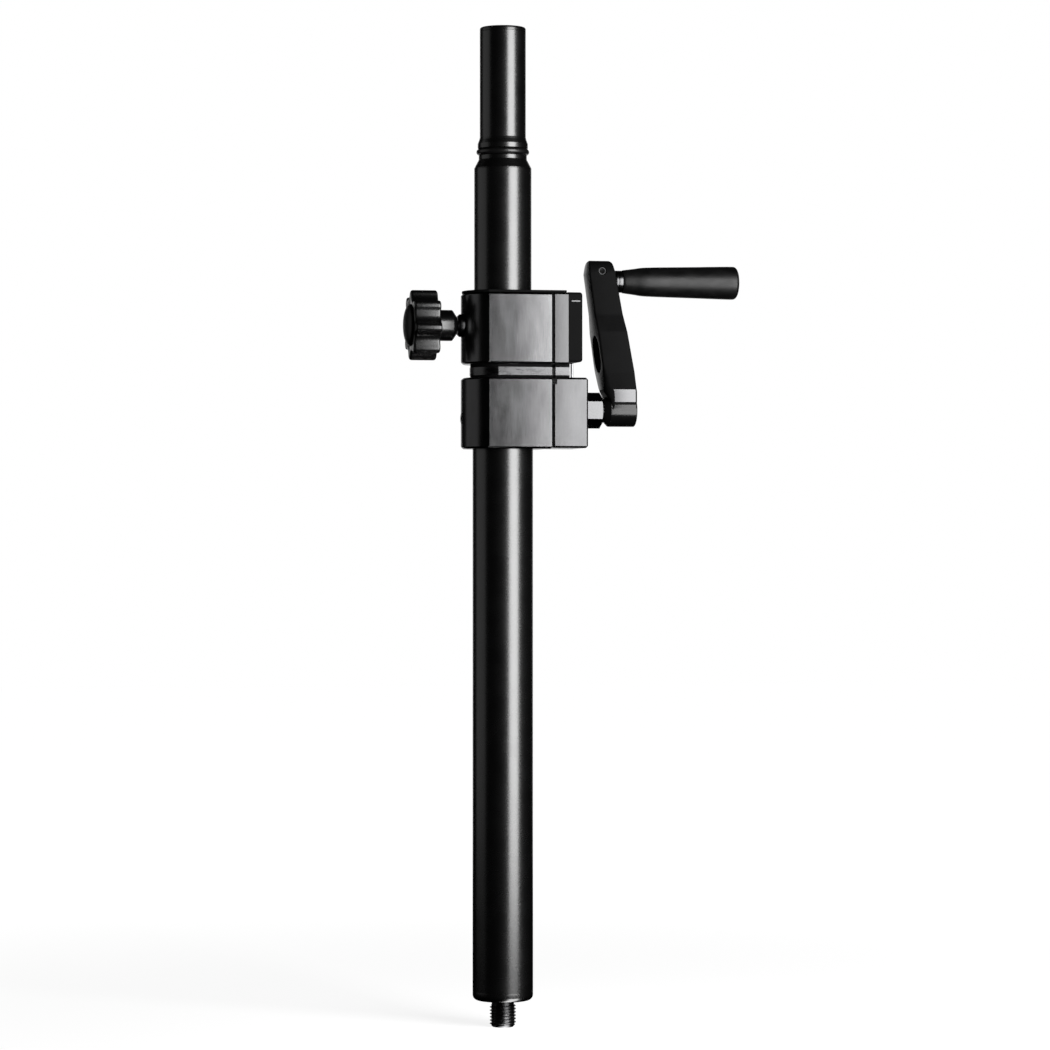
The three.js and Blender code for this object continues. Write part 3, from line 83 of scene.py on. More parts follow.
def finish(name, colour, roughness, spread=0.06, metallic=0.0, grain=1400.0, stretch=(1, 1, 1),
           bump=0.12, tone=0.15, specular=0.5, cloud=60.0, sweep=(1, 1, 1)):
    """A coat whose colour and roughness drift with a slow noise, and whose surface carries a fine bump.

    grain is the number of grains per metre, stretch divides it along x, y and z, spread is how far the
    roughness drifts either way, and tone is how far the colour does, as a share of itself. cloud and
    sweep are the same as grain and stretch for the slow noise.
    """
    material = bpy.data.materials.new(name)
    material.use_nodes = True
    nodes, links = material.node_tree.nodes, material.node_tree.links
    shader = nodes["Principled BSDF"]
    shader.inputs["Metallic"].default_value = metallic
    shader.inputs["Specular IOR Level"].default_value = specular
    slow = pattern(nodes, links, cloud, sweep, detail=4)
    fine = pattern(nodes, links, grain, stretch, detail=3)
    both = nodes.new("ShaderNodeMath")
    both.operation = "MULTIPLY_ADD"
    both.inputs[1].default_value = GRAIN_SHARE
    links.new(fine, both.inputs[0])
    links.new(slow, both.inputs[2])

    gloss = nodes.new("ShaderNodeMapRange")
    gloss.inputs["From Min"].default_value = NOISE_LOW
    gloss.inputs["From Max"].default_value = NOISE_HIGH
    gloss.inputs["To Min"].default_value = roughness - spread
    gloss.inputs["To Max"].default_value = roughness + spread
    links.new(both.outputs[0], gloss.inputs["Value"])
    links.new(gloss.outputs["Result"], shader.inputs["Roughness"])

    ramp = nodes.new("ShaderNodeValToRGB")
    for stop, position, share in zip(ramp.color_ramp.elements, (NOISE_LOW, NOISE_HIGH), (1 - tone, 1 + tone)):
        stop.position = position
        stop.color = [c * share for c in colour] + [1]
    links.new(both.outputs[0], ramp.inputs["Fac"])
    links.new(ramp.outputs["Color"], shader.inputs["Base Color"])

    relief = nodes.new("ShaderNodeBump")
    relief.inputs["Strength"].default_value = bump
    relief.inputs["Distance"].default_value = BUMP_DEPTH
    links.new(fine, relief.inputs["Height"])
    links.new(relief.outputs["Normal"], shader.inputs["Normal"])
    return material


def grey(level):
    """A neutral colour with a trace of blue, as blackened metal and black plastic have."""
    return (level, level, level * 1.02)


# %% The finishes of this pole
tube_coat = finish("tube_coat", grey(0.0012), 0.27, spread=0.02, grain=1800, bump=0.08, specular=1.0)


def casting(name, brightness):
    """The dark brushed coat of the cast pieces, in copies of painted light and shade: each piece's copy is
    brighter or darker to match how the lamp lights that piece.
    """
    return finish(name, grey(brightness), 0.24, spread=0.035, metallic=1.0, grain=2600, stretch=(1, 1, 24),
                  bump=0.2, tone=0.16, cloud=110, sweep=(1, 1, 3))


# Four copies of one coat, whose brightness differs only as painted light and shade on each piece
upper_coat = casting("upper_coat", 0.108)
lower_coat = casting("lower_coat", 0.084)
side_coat = casting("side_coat", 0.058)
strip_coat = casting("strip_coat", 0.048)
collar_coat = finish("collar_coat", grey(0.09), 0.28, spread=0.12, metallic=1.0, grain=2600,
                     stretch=(24, 24, 1), bump=0.25, tone=0.45, cloud=160, sweep=(2.5, 2.5, 1))
arm_coat = finish("arm_coat", grey(0.005), 0.42, spread=0.05, grain=2200, bump=0.2, tone=0.25,
                  specular=0.015)
hub_coat = finish("hub_coat", grey(0.003), 0.21, spread=0.04, grain=2200, stretch=(1, 8, 8), bump=0.15,
                  tone=0.2, specular=0.3)
facet_steel = finish("facet_steel", grey(0.075), 0.28, spread=0.04, metallic=1.0, grain=2400,
                     stretch=(18, 1, 1), bump=0.12, tone=0.12)
nut_steel = finish("nut_steel", grey(0.088), 0.26, spread=0.04, metallic=1.0, grain=2400,
                   stretch=(1, 1, 14), bump=0.1, tone=0.12)
pin_steel = finish("pin_steel", grey(0.07), 0.24, spread=0.04, metallic=1.0, grain=2600,
                   stretch=(1, 8, 8), bump=0.08, tone=0.08)
stud_steel = finish("stud_steel", grey(0.09), 0.30, spread=0.05, metallic=1.0, grain=2400, bump=0.1)
black_plastic = finish("black_plastic", grey(0.0015), 0.27, spread=0.04, grain=1600, bump=0.12,
                       specular=0.75)
cover_plastic = finish("cover_plastic", grey(0.005), 0.50, spread=0.05, grain=1500, bump=0.2, specular=0.02)
grip_plastic = finish("grip_plastic", grey(0.003), 0.42, spread=0.10, grain=1500, stretch=(3, 1, 1),
                      bump=0.3, tone=0.4, cloud=150, sweep=(2, 1, 1), specular=0.3)
rubber = finish("rubber", grey(0.003), 0.34, spread=0.05, grain=1200, bump=0.15, specular=0.6)
bright_steel = finish("bright_steel", grey(0.30), 0.24, spread=0.05, metallic=1.0, grain=3000,
                      stretch=(1, 8, 8), bump=0.08, tone=0.06)
dark_steel = finish("dark_steel", grey(0.025), 0.28, spread=0.05, metallic=1.0, grain=2200, bump=0.12)
brass = finish("brass", (0.55, 0.38, 0.13), 0.32, spread=0.06, metallic=1.0, grain=2400, bump=0.1)
nylon = finish("nylon", grey(0.035), 0.45, spread=0.05, grain=1400, bump=0.15)
lining = finish("lining", (0.07, 0.045, 0.03), 0.85, spread=0.08, grain=900, bump=0.5, tone=0.4)
print("finishes:", len(bpy.data.materials))

# %% [markdown]
# ## Surfaces as grids
# A round tube with 44 flat sides shows its corners against a white background, so each turned piece is
# made again as a grid: one parameter runs along the profile, the other round the axis. Where two lines
# of a profile meet, a real tool leaves a small radius, and `filleted` puts it there. One helper turns a
# grid into a mesh, closes its poles, and hands the piece to the frame.

# %% From points and faces to a piece of the pole
MM = 0.001
MERGE = 2e-6
SMALLEST_EDGE = 1e-6
SHARP = math.radians(32)


def mesh_of(name, points, faces):
    """A closed mesh from points in millimetres, with doubled points merged and faces turned outwards."""
    mesh = bpy.data.meshes.new(name)
    mesh.from_pydata((np.asarray(points, float) * MM).tolist(), [], [list(f) for f in faces])
    work = bmesh.new()
    work.from_mesh(mesh)
    bmesh.ops.remove_doubles(work, verts=work.verts, dist=MERGE)
    bmesh.ops.dissolve_degenerate(work, edges=work.edges, dist=SMALLEST_EDGE)
    bmesh.ops.recalc_face_normals(work, faces=work.faces)
    work.to_mesh(mesh)
    work.free()
    mesh.shade_smooth()
    mesh.set_sharp_from_angle(angle=SHARP)
    return mesh


def add_piece(name, mesh, body, material, stands_for=()):
    """Puts a mesh into the scene as a piece that rides on a body and stands for CAD nodes."""
    thing = bpy.data.objects.new(name, mesh)
    bpy.context.scene.collection.objects.link(thing)
    mesh.materials.clear()
    mesh.materials.append(material)
    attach(thing, body)
    if stands_for:
        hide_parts(*stands_for)
    print(f"{name}: {len(mesh.polygons)} faces")
    return thing


def grid_faces(rows, columns, wrap=True):
    """Quads between neighbouring rows and columns; wrap joins the last column to the first."""
    i = np.arange(rows - 1)[:, None]
    j = np.arange(columns if wrap else columns - 1)[None, :]
    a = i * columns + j
    b = i * columns + (j + 1) % columns
    return np.stack([a, b, b + columns, a + columns], -1).reshape(-1, 4)


def filleted(corners, closed=False, steps=5):
    """Each corner (x, y, radius) becomes an arc of that radius that touches both its edges.

    The arc starts where the edge lies radius * tan(turn / 2) before the corner, and each of its points
    is a mix of the two tangent points bent round the arc's centre.
    """
    count = len(corners)
    out = []
    for k, (x, y, radius) in enumerate(corners):
        if radius <= 0 or (not closed and k in (0, count - 1)):
            out.append((x, y))
            continue
        here = np.array([x, y], float)
        before = np.array(corners[k - 1][:2], float) - here
        after = np.array(corners[(k + 1) % count][:2], float) - here
        before /= np.linalg.norm(before)
        after /= np.linalg.norm(after)
        half = math.acos(max(-1.0, min(1.0, float(before @ after)))) / 2
        if half > math.radians(89.5):
            out.append((x, y))
            continue
        middle = before + after
        centre = here + middle / np.linalg.norm(middle) * radius / math.sin(half)
        start, end = (here + v * radius / math.tan(half) - centre for v in (before, after))
        spread = math.acos(max(-1.0, min(1.0, float(start @ end) / radius ** 2)))
        for t in np.linspace(0, 1, steps + 1):
            mixed = (math.sin((1 - t) * spread) * start + math.sin(t * spread) * end) / math.sin(spread)
            out.append(tuple(centre + mixed))
    return np.array(out)


# For each axis, where a point goes that lies at a and b across it and at h along it
PLACE = {"z": lambda a, b, h: (a, b, h), "x": lambda a, b, h: (h, a, b), "y": lambda a, b, h: (b, h, a)}


def turned(name, profile, axis="z", centre=(0, 0, 0), sides=128, closed=False):
    """A surface of revolution: each profile point (radius, height) becomes a ring round the axis.

    A ring's point is centre + radius * (cos angle, sin angle) across the axis + height along it. A
    closed profile joins its last point to its first, as for a ring with a hole.
    """
    profile = np.asarray(profile, float)
    if closed:
        profile = np.vstack([profile, profile[:1]])
    angle = np.linspace(0, 2 * np.pi, sides, endpoint=False)
    across = profile[:, :1] * np.cos(angle), profile[:, :1] * np.sin(angle)
    height = np.repeat(profile[:, 1:], sides, axis=1)
    points = np.stack(PLACE[axis](across[0], across[1], height), -1).reshape(-1, 3) + centre
    return mesh_of(name, points, grid_faces(len(profile), sides))


# %% [markdown]
# ## The outer tube, the mast and its head
# All of these were drawn or turned, so a profile says it all. The rounded foot of the outer tube is a
# plug that the stud screws into. The head is one turned piece: a cone as wide as the mast, a neck, a
# groove for the rubber ring, a band that flares into the 35 mm spigot, and a plastic cap on top.

# %% Heights along the pole
SHOULDER_Z = 20.3
TUBE_Z = 27.2
TUBE_TOP_Z = 551.8
LOWER_BLOCK_Z = 439.4
LOWER_BLOCK_TOP_Z = 493.4
UPPER_BLOCK_Z = 503.6
UPPER_BLOCK_TOP_Z = 557.5
MAST_Z = 71.7
MAST_TOP_Z = 652.2
TOP_Z = 760.3
TUBE_RADIUS = 23.0
BORE_RADIUS = 22.0
MAST_RADIUS = 21.8

# %% The plug with its rounded shoulder
JOINT_GAP = 0.1
STUD_HOLE = 10.15
STUD_HOLE_TOP_Z = 42.6
PLUG_RADIUS = 21.85
PLUG_TOP_Z = 53.1
plug_rim = TUBE_Z - JOINT_GAP
plug_profile = filleted([
    (STUD_HOLE, SHOULDER_Z, 0), (TUBE_RADIUS, SHOULDER_Z, 4.2), (TUBE_RADIUS, plug_rim, 0.25),
    (PLUG_RADIUS, plug_rim, 0), (PLUG_RADIUS, PLUG_TOP_Z, 1.0), (0, PLUG_TOP_Z, 0)], steps=10)
plug_bore = [(0, STUD_HOLE_TOP_Z), (STUD_HOLE, STUD_HOLE_TOP_Z), (STUD_HOLE, SHOULDER_Z)]
add_piece("end_plug", turned("end_plug", np.vstack([plug_profile, plug_bore])), "base",
          tube_coat, ["tube_end_plug"])


# %% [markdown]
# ## A wall with an outline
# The mast isn't quite round: a groove for the rope runs down its far side. Its outline is an arc that
# is broken by the groove, and its wall keeps the same thickness behind it. `walled` joins an outer and
# an inner outline of equal point count with a ring at each end.

# %% The outer tube and the mast
def walled(name, outer, inner, low, high, rows=2):
    """A tube between two outlines: outer up, inner down, with a ring of quads closing each end."""
    heights = np.linspace(low, high, rows)
    count = len(outer)
    loops = [(outer, h) for h in heights] + [(inner, h) for h in heights[::-1]] + [(outer, heights[0])]
    points = np.vstack([np.column_stack([line, np.full(count, h)]) for line, h in loops])
    return mesh_of(name, points, grid_faces(len(loops), count))


def circle(radius, count=144, start=0.0):
    """Points at equal angles: radius * (cos angle, sin angle)."""
    angle = start + np.linspace(0, 2 * np.pi, count, endpoint=False)
    return np.column_stack([radius * np.cos(angle), radius * np.sin(angle)])


def grooved(radius, floor_x, half_width, arc_points=132, edge=0.35):
    """A circle with a straight-sided groove that faces +X, its mouth edges eased by a small radius."""
    gap = math.asin(half_width / radius)
    arc = np.linspace(gap, 2 * np.pi - gap, arc_points)
    ring = [(radius * math.cos(a), radius * math.sin(a), 0) for a in arc]
    ring[0] = ring[0][:2] + (edge,)
    ring[-1] = ring[-1][:2] + (edge,)
    ring += [(floor_x, -half_width, edge), (floor_x, half_width, edge)]
    return filleted(ring, closed=True, steps=3)


GROOVE_FLOOR = 18.2
GROOVE_HALF = 3.1
MAST_WALL = 2.0

tube = walled("outer_tube", circle(TUBE_RADIUS), circle(BORE_RADIUS), TUBE_Z, TUBE_TOP_Z)
add_piece("outer_tube", tube, "base", tube_coat, ["lower_tube"])
mast_outside = grooved(MAST_RADIUS, GROOVE_FLOOR, GROOVE_HALF)
mast_inside = grooved(MAST_RADIUS - MAST_WALL, GROOVE_FLOOR - MAST_WALL, GROOVE_HALF + MAST_WALL)
mast = walled("mast", mast_outside, mast_inside, MAST_Z, MAST_TOP_Z)
add_piece("mast", mast, "mast", tube_coat, ["mast_tube"])

# %% The head
HEAD_Z = 620.4
HEAD_PLUG_RADIUS = 19.6
CONE_Z = 652.9
CONE_TOP_Z = 659.6
GROOVE_Z = 663.0
GROOVE_TOP_Z = 667.7
BAND_RADIUS = 19.1
BAND_TOP_Z = 671.6
SPIGOT_Z = 676.4
SPIGOT_RIM_Z = 756.8
SPIGOT_RADIUS = 17.5
SPIGOT_BORE = 14.5
seat_z = MAST_TOP_Z + JOINT_GAP
head_outside = filleted([
    (HEAD_PLUG_RADIUS, HEAD_Z, 0.5), (HEAD_PLUG_RADIUS, seat_z, 0), (MAST_RADIUS, seat_z, 0.3),
    (MAST_RADIUS, CONE_Z, 0.4), (18.3, CONE_TOP_Z, 1.2), (18.3, GROOVE_Z - 0.2, 0.4),
    (15.4, GROOVE_Z, 0.4), (15.4, GROOVE_TOP_Z, 0.4), (BAND_RADIUS, GROOVE_TOP_Z + 0.2, 0.5),
    (BAND_RADIUS, BAND_TOP_Z, 0.9), (18.0, 674.6, 2.0), (SPIGOT_RADIUS, SPIGOT_Z, 0.3),
    (SPIGOT_RADIUS, SPIGOT_RIM_Z, 0)], steps=5)
head_inside = [(SPIGOT_BORE, SPIGOT_RIM_Z), (SPIGOT_BORE, SPIGOT_Z), (0, SPIGOT_Z)]
head_profile = np.vstack([[(0, HEAD_Z)], head_outside, head_inside])
add_piece("head", turned("head", head_profile, sides=144), "mast", tube_coat, ["head_adapter"])

# %% The rubber ring
RING_Z = 665.4
RING_MIDDLE = 17.8
RING_HALF_WIDTH = 2.3
RING_HALF_HEIGHT = 2.35
ring_angle = np.linspace(0, 2 * np.pi, 28, endpoint=False)
ring_profile = np.column_stack([RING_MIDDLE + RING_HALF_WIDTH * np.cos(ring_angle),
                                RING_Z + RING_HALF_HEIGHT * np.sin(ring_angle)])
add_piece("rubber_ring", turned("rubber_ring", ring_profile, sides=144, closed=True), "mast",
          rubber, ["head_o_ring"])


# %% The plastic cap
CAP_PLUG_RADIUS = 14.3
CAP_PLUG_Z = 744.9
CAP_DIP = 0.5
cap_rim = SPIGOT_RIM_Z + JOINT_GAP
cap_profile = filleted([
    (0, CAP_PLUG_Z, 0), (CAP_PLUG_RADIUS, CAP_PLUG_Z, 0.6), (CAP_PLUG_RADIUS, cap_rim, 0),
    (SPIGOT_RADIUS, cap_rim, 0.25), (SPIGOT_RADIUS, TOP_Z, 1.6), (11.5, TOP_Z, 0.6),
    (11.1, TOP_Z - CAP_DIP, 0.5), (0, TOP_Z - CAP_DIP, 0)], steps=6)
add_piece("end_cap", turned("end_cap", cap_profile, sides=144), "mast", black_plastic,
          ["spigot_end_cap"])


# %% [markdown]
# ## The stud's thread
# A thread is a function: the radius depends on where a point lies between two crests, and the crest
# climbs one pitch for each turn. Cutting that surface with the chamfer at the tip and the undercut at
# the root is a matter of taking the smaller radius, so the thread fades out as a real one does.

# %% The threaded stud
PITCH = 2.5
CREST_RADIUS = 10.0
THREAD_DEPTH = 1.3
THREAD_TOP_Z = 17.0
CREST_SHARE = 0.125
FLANK_SHARE = 0.625
ROW_STEP = 0.1


def threaded(name, low, high, limits, sides=144):
    """radius = crest - depth * ramp(distance to the nearest crest), never above the limiting profile.

    The distance to the crest is |(z / pitch - angle / turn) mod 1 - 1/2|, and the ramp is flat for the
    outer eighth and the root quarter of the pitch. limits is the plain profile, radius over z.
    """
    z = np.unique(np.concatenate([np.linspace(low, high, int((high - low) / ROW_STEP)), limits[:, 1]]))
    angle = np.linspace(0, 2 * np.pi, sides, endpoint=False)
    phase = (z[:, None] / PITCH - angle[None, :] / (2 * np.pi)) % 1.0
    off = np.abs(phase - 0.5) * 2
    ramp = np.clip((off - CREST_SHARE) / FLANK_SHARE, 0, 1)
    radius = CREST_RADIUS - THREAD_DEPTH * ramp
    plain = np.interp(z, limits[:, 1], limits[:, 0])[:, None]
    threaded_part = (z[:, None] > low) & (z[:, None] < high)
    radius = np.where(threaded_part, np.minimum(radius, plain), plain)
    points = np.stack([radius * np.cos(angle), radius * np.sin(angle), np.repeat(z[:, None], sides, 1)], -1)
    middle = np.zeros((2, sides))
    ends = np.stack([middle, middle, np.repeat([[z[0]], [z[-1]]], sides, 1)], -1)
    points = np.concatenate([ends[:1], points, ends[1:]]).reshape(-1, 3)
    return mesh_of(name, points, grid_faces(len(z) + 2, sides))


stud_limits = np.array([
    [7.8, 0.0], [CREST_RADIUS, 2.2], [CREST_RADIUS, 16.0], [8.5, THREAD_TOP_Z], [8.5, 20.35],
    [CREST_RADIUS, 21.1], [CREST_RADIUS, 42.3]])
add_piece("stud", threaded("stud", 0.0, THREAD_TOP_Z, stud_limits), "base", stud_steel,
          ["threaded_stud"])


# %% [markdown]
# ## The clamped blocks
# The blocks were machined from solid: a flat face in front, a round back, rounded edges above and
# below, and a fine chamfer where two of them meet. A prism with cylinders cut out of it gives the form,
# and a bevel whose width is set edge by edge gives the rounding, as a milling cutter would.

# %% Prisms, cutters and edges of different width
EDGE = 2.0
FLAT = math.radians(0.5)
CORNER = math.radians(24)
# How far a cutter passes a face, how near a point lies to a plane, and the share of an edge's
# direction past which it lies along an axis
BEYOND = 8.0
NEAR = 0.05
MOSTLY = 0.9


def prism(name, outline, low, high, axis="z"):
    """A flat outline carried from low to high along an axis, with one face at each end."""
    outline = np.asarray(outline, float)
    count = len(outline)
    both = [np.stack(PLACE[axis](outline[:, 0], outline[:, 1], np.full(count, h)), -1) for h in (low, high)]
    sides = [(i, (i + 1) % count, (i + 1) % count + count, i + count) for i in range(count)]
    caps = [tuple(range(count)), tuple(range(count, 2 * count))]
    return mesh_of(name, np.vstack(both), sides + caps)


def moved(mesh, offset):
    """Moves a mesh's points by an offset in millimetres."""
    mesh.transform(Matrix.Translation([c * MM for c in offset]))
    return mesh


def rod(radius, low, high, axis, centre, sides=64):
    """A plain cylinder that cuts a hole."""
    mesh = prism("cutter", circle(radius, sides, math.pi / sides), low, high, axis)
    return moved(mesh, centre)


def block(low, high):
    """A box between two corners, as a mesh that can cut or join."""
    (x0, y0, z0), (x1, y1, z1) = low, high
    return prism("cutter", [(x0, y0), (x1, y0), (x1, y1), (x0, y1)], z0, z1)


def combined(mesh, others, operation="DIFFERENCE"):
    """Cuts the other meshes out of a mesh, or joins them to it, one after the other."""
    base = bpy.data.objects.new("base", mesh)
    bpy.context.scene.collection.objects.link(base)
    helpers = []
    for other in others:
        helper = bpy.data.objects.new("helper", other)
        bpy.context.scene.collection.objects.link(helper)
        step = base.modifiers.new("step", "BOOLEAN")
        step.operation = operation
        step.solver = "EXACT"
        step.object = helper
        helpers.append(helper)
    graph = bpy.context.evaluated_depsgraph_get()
    result = bpy.data.meshes.new_from_object(base.evaluated_get(graph))
    for thing in helpers + [base]:
        bpy.data.objects.remove(thing)
    return result


def edged(mesh, width_of, segments=3, roundness=0.5):
    """Bevels the sharp edges of a mesh; width_of gives each one's width from its middle and direction.

    A roundness of 0.5 is an arc, and 0.25 a flat chamfer.
    """
    work = bmesh.new()
    work.from_mesh(mesh)
    bmesh.ops.remove_doubles(work, verts=work.verts, dist=MERGE)
    bmesh.ops.dissolve_limit(work, angle_limit=FLAT, verts=work.verts, edges=work.edges)
    weights = work.edges.layers.float
    layer = weights.get("bevel_weight_edge") or weights.new("bevel_weight_edge")
    for edge in work.edges:
        if len(edge.link_faces) != 2 or edge.calc_face_angle(0) < CORNER:
            continue
        a, b = (np.array(v.co) / MM for v in edge.verts)
        along = (b - a) / max(np.linalg.norm(b - a), 1e-9)
        edge[layer] = min(1.0, width_of((a + b) / 2, np.abs(along)) / EDGE)
    work.to_mesh(mesh)
    work.free()
    mesh.shade_smooth()
    thing = bpy.data.objects.new("edged", mesh)
    bpy.context.scene.collection.objects.link(thing)
    bevel = thing.modifiers.new("edges", "BEVEL")
    bevel.limit_method = "WEIGHT"
    bevel.width = EDGE * MM
    bevel.segments = segments
    bevel.profile = roundness
    bevel.use_clamp_overlap = False
    bevel.harden_normals = True
    graph = bpy.context.evaluated_depsgraph_get()
    result = bpy.data.meshes.new_from_object(thing.evaluated_get(graph))
    bpy.data.objects.remove(thing)
    return result


# %% The two D-shaped blocks
BLOCK_RADIUS = 32.0
BLOCK_HALF = 27.6
BLOCK_REACH = 33.2
CLAMP_RADIUS = 23.15
LOCK_Z = 533.1
CRANK_Y = 9.3
CRANK_Z = 469.5
PULLEY_X = 37.1
PULLEY_Z = 532.4
PULLEY_PITCH = 16.8
ROPE_X = PULLEY_X + PULLEY_PITCH
GRUB_Z = 462.6
GRUB_SEAT_X = -30.4
BLOCK_ROUNDNESS = 0.34
POLE_AXIS = (0, 0, 0)
LOCK_AXIS = (0, 0, LOCK_Z)
CRANK_AXIS = (0, CRANK_Y, CRANK_Z)


def round_back(radius, half, reach, arc_points=56, blend=1.2):
    """A rectangle in front and an arc at the back, the two joined by a small blend radius."""
    spread = math.asin(half / radius)
    angles = np.linspace(np.pi - spread, np.pi + spread, arc_points)
    arc = [(radius * math.cos(a), radius * math.sin(a), 0) for a in angles]
    arc[0] = arc[0][:2] + (blend,)
    arc[-1] = arc[-1][:2] + (blend,)
    return filleted([(reach, -half, 0), (reach, half, 0)] + arc, closed=True, steps=3)


def block_edges(low, high, end_width=1.9, seam_width=1.15, hole_width=0.3):
    """Widths for a block between two heights: wide above and below, fine at the seam, least at holes."""
    def hole(middle):
        inside = math.hypot(middle[0], middle[1]) < BLOCK_RADIUS - 1 and abs(middle[1]) < BLOCK_HALF - 1
        return inside and middle[0] < BLOCK_REACH - 0.3

    def width(middle, along):
        outside = math.hypot(middle[0], middle[1]) > CLAMP_RADIUS + 1
        at_end = abs(middle[2] - low) < NEAR or abs(middle[2] - high) < NEAR
        if at_end and outside and along[2] < 1 - MOSTLY and not hole(middle):
            return end_width
        if along[2] > MOSTLY and abs(abs(middle[1]) - BLOCK_HALF) < 0.3:
            return seam_width
        return hole_width
    return width


# %% The lower block
side_screws = [(y, z) for z in (7.0, 47.0) for y in (-20.6, 20.6)]
SHAFT_HOLE = 6.35
SHAFT_HOLE_X = 26.2
GRUB_HOLE = 4.15
block_outline = round_back(BLOCK_RADIUS, BLOCK_HALF, BLOCK_REACH)
before_block = -BLOCK_RADIUS - BEYOND
lower = prism("lower_block", block_outline, LOWER_BLOCK_Z, LOWER_BLOCK_TOP_Z)
lower = combined(lower, [
    rod(CLAMP_RADIUS, LOWER_BLOCK_Z - BEYOND, LOWER_BLOCK_TOP_Z + BEYOND, "z", POLE_AXIS, 144),
    rod(SHAFT_HOLE, SHAFT_HOLE_X, BLOCK_REACH + BEYOND, "x", CRANK_AXIS),
    rod(GRUB_HOLE, before_block, GRUB_SEAT_X + JOINT_GAP, "x", (0, 0, GRUB_Z), 48),
])
lower = edged(lower, block_edges(LOWER_BLOCK_Z, LOWER_BLOCK_TOP_Z), 4, BLOCK_ROUNDNESS)
add_piece("winch_block", lower, "base", lower_coat, ["lower_block"])

# %% The upper block
# The lock knob's hole in three steps: radius, where it ends along x, and its number of sides
LOCK_HOLES = [(8.95, -30.4, 64), (7.15, -27.8, 64), (4.9, -20, 48)]
SLOT_X = 20.0
SLOT_HALF = 3.1
SLOT_Z = 513.4
SLOT_TOP_Z = 551.4
upper = prism("upper_block", block_outline, UPPER_BLOCK_Z, UPPER_BLOCK_TOP_Z)
upper = combined(upper, [
    rod(CLAMP_RADIUS, UPPER_BLOCK_Z - BEYOND, UPPER_BLOCK_TOP_Z + BEYOND, "z", POLE_AXIS, 144),
    *[rod(radius, before_block, end, "x", LOCK_AXIS, sides) for radius, end, sides in LOCK_HOLES],
    block((SLOT_X, -SLOT_HALF, SLOT_Z), (BLOCK_REACH + BEYOND, SLOT_HALF, SLOT_TOP_Z)),
])
upper = edged(upper, block_edges(UPPER_BLOCK_Z, UPPER_BLOCK_TOP_Z), 4, BLOCK_ROUNDNESS)
add_piece("head_block", upper, "base", upper_coat, ["upper_block"])

# %% A second finish on some faces of a piece
def second_finish(mesh, material, chosen):
    """Gives another material to the faces for which chosen(centres, normals) is true, in millimetres."""
    mesh.materials.append(material)
    centres = np.zeros(len(mesh.polygons) * 3)
    normals = np.zeros(len(mesh.polygons) * 3)
    mesh.polygons.foreach_get("center", centres)
    mesh.polygons.foreach_get("normal", normals)
    picked = chosen(centres.reshape(-1, 3) / MM, normals.reshape(-1, 3))
    index = np.zeros(len(mesh.polygons), np.int32)
    mesh.polygons.foreach_get("material_index", index)
    index[picked] = len(mesh.materials) - 1
    mesh.polygons.foreach_set("material_index", index)
    print(f"{material.name} on {int(picked.sum())} faces")


# %% The neck between the blocks
NECK_Z = 493.5
NECK_TOP_Z = 503.5
MILLED_Z = 495.15
MILLED_TOP_Z = 501.2
NECK_INSET = 0.45
NECK_RADIUS = 25.3
NECK_HALF = 23.9
BELT_STEP = 0.2


def banded(name, outline, top):
    """An outline carried upwards with a milled belt round its middle and a narrow inset above and below.

    outline(inset) gives the outline drawn in by that much; each level repeats it at one height.
    """
    levels = [(NECK_Z, NECK_INSET), (MILLED_Z - BELT_STEP, NECK_INSET), (MILLED_Z, 0), (MILLED_TOP_Z, 0),
              (MILLED_TOP_Z + BELT_STEP, NECK_INSET), (top, NECK_INSET)]
    loops = [np.column_stack([outline(inset), np.full(len(outline(inset)), z)]) for z, inset in levels]
    count = len(loops[0])
    caps = [list(range(count)), list(range(count * (len(levels) - 1), count * len(levels)))]
    return mesh_of(name, np.vstack(loops), grid_faces(len(levels), count).tolist() + caps)


def milled_belt(centres, normals):
    """The upright outer faces of the belt."""
    upright = np.abs(normals[:, 2]) < 0.1
    outside = np.hypot(centres[:, 0], centres[:, 1]) > CLAMP_RADIUS + 0.2
    return upright & outside & (centres[:, 2] > MILLED_Z) & (centres[:, 2] < MILLED_TOP_Z)


# The neck is matte black above and below its milled belt: painted shade for the dark bands under the upper
# block and over the lower one
neck = banded("neck", lambda inset: round_back(NECK_RADIUS - inset, NECK_HALF - inset, BLOCK_REACH),
              NECK_TOP_Z)
neck = combined(neck, [rod(CLAMP_RADIUS, NECK_Z - BEYOND, NECK_TOP_Z + BEYOND, "z", POLE_AXIS, 144)])
neck.shade_smooth()
neck.set_sharp_from_angle(angle=SHARP)
add_piece("neck", neck, "base", arm_coat, ["neck_collar"])
second_finish(neck, collar_coat, milled_belt)

# %% The drum housing with its screws' seats
HOUSING_X = 33.5
HOUSING_END = 60.6
HOUSING_Z = 440.0
DRUM_ROOM = 13.8
DRUM_ROOM_END = 57.0
BEARING_HOLE = 8.15
ROPE_HOLE = 2.0
FOOT_X = 35.9
NOTCH_Z = 488.4
SEAT_X = 55.5
SEAT_RADIUS = 4.4


def strip(start, end, half, corner=1.9):
    """A rectangle whose two outer corners are rounded."""
    return filleted([(start, -half, 0), (end, -half, corner), (end, half, corner), (start, half, 0)],
                    closed=True, steps=6)


def side_edges(low, high, start, end, end_width=1.8, seam_width=1.3, hole_width=0.35):
    """Widths for a side piece: wide on its outer rims, fine at its seam, least in its holes."""
    def width(middle, along):
        rim = abs(middle[2] - low) < NEAR or abs(middle[2] - high) < NEAR
        if rim and (abs(abs(middle[1]) - BLOCK_HALF) < 2.5 or abs(middle[0] - end) < 0.1):
            return end_width
        at_side = abs(abs(middle[1]) - BLOCK_HALF) < 0.2
        if abs(middle[0] - start) < 0.1 and along[0] < 1 - MOSTLY and at_side:
            return seam_width
        return hole_width
    return width


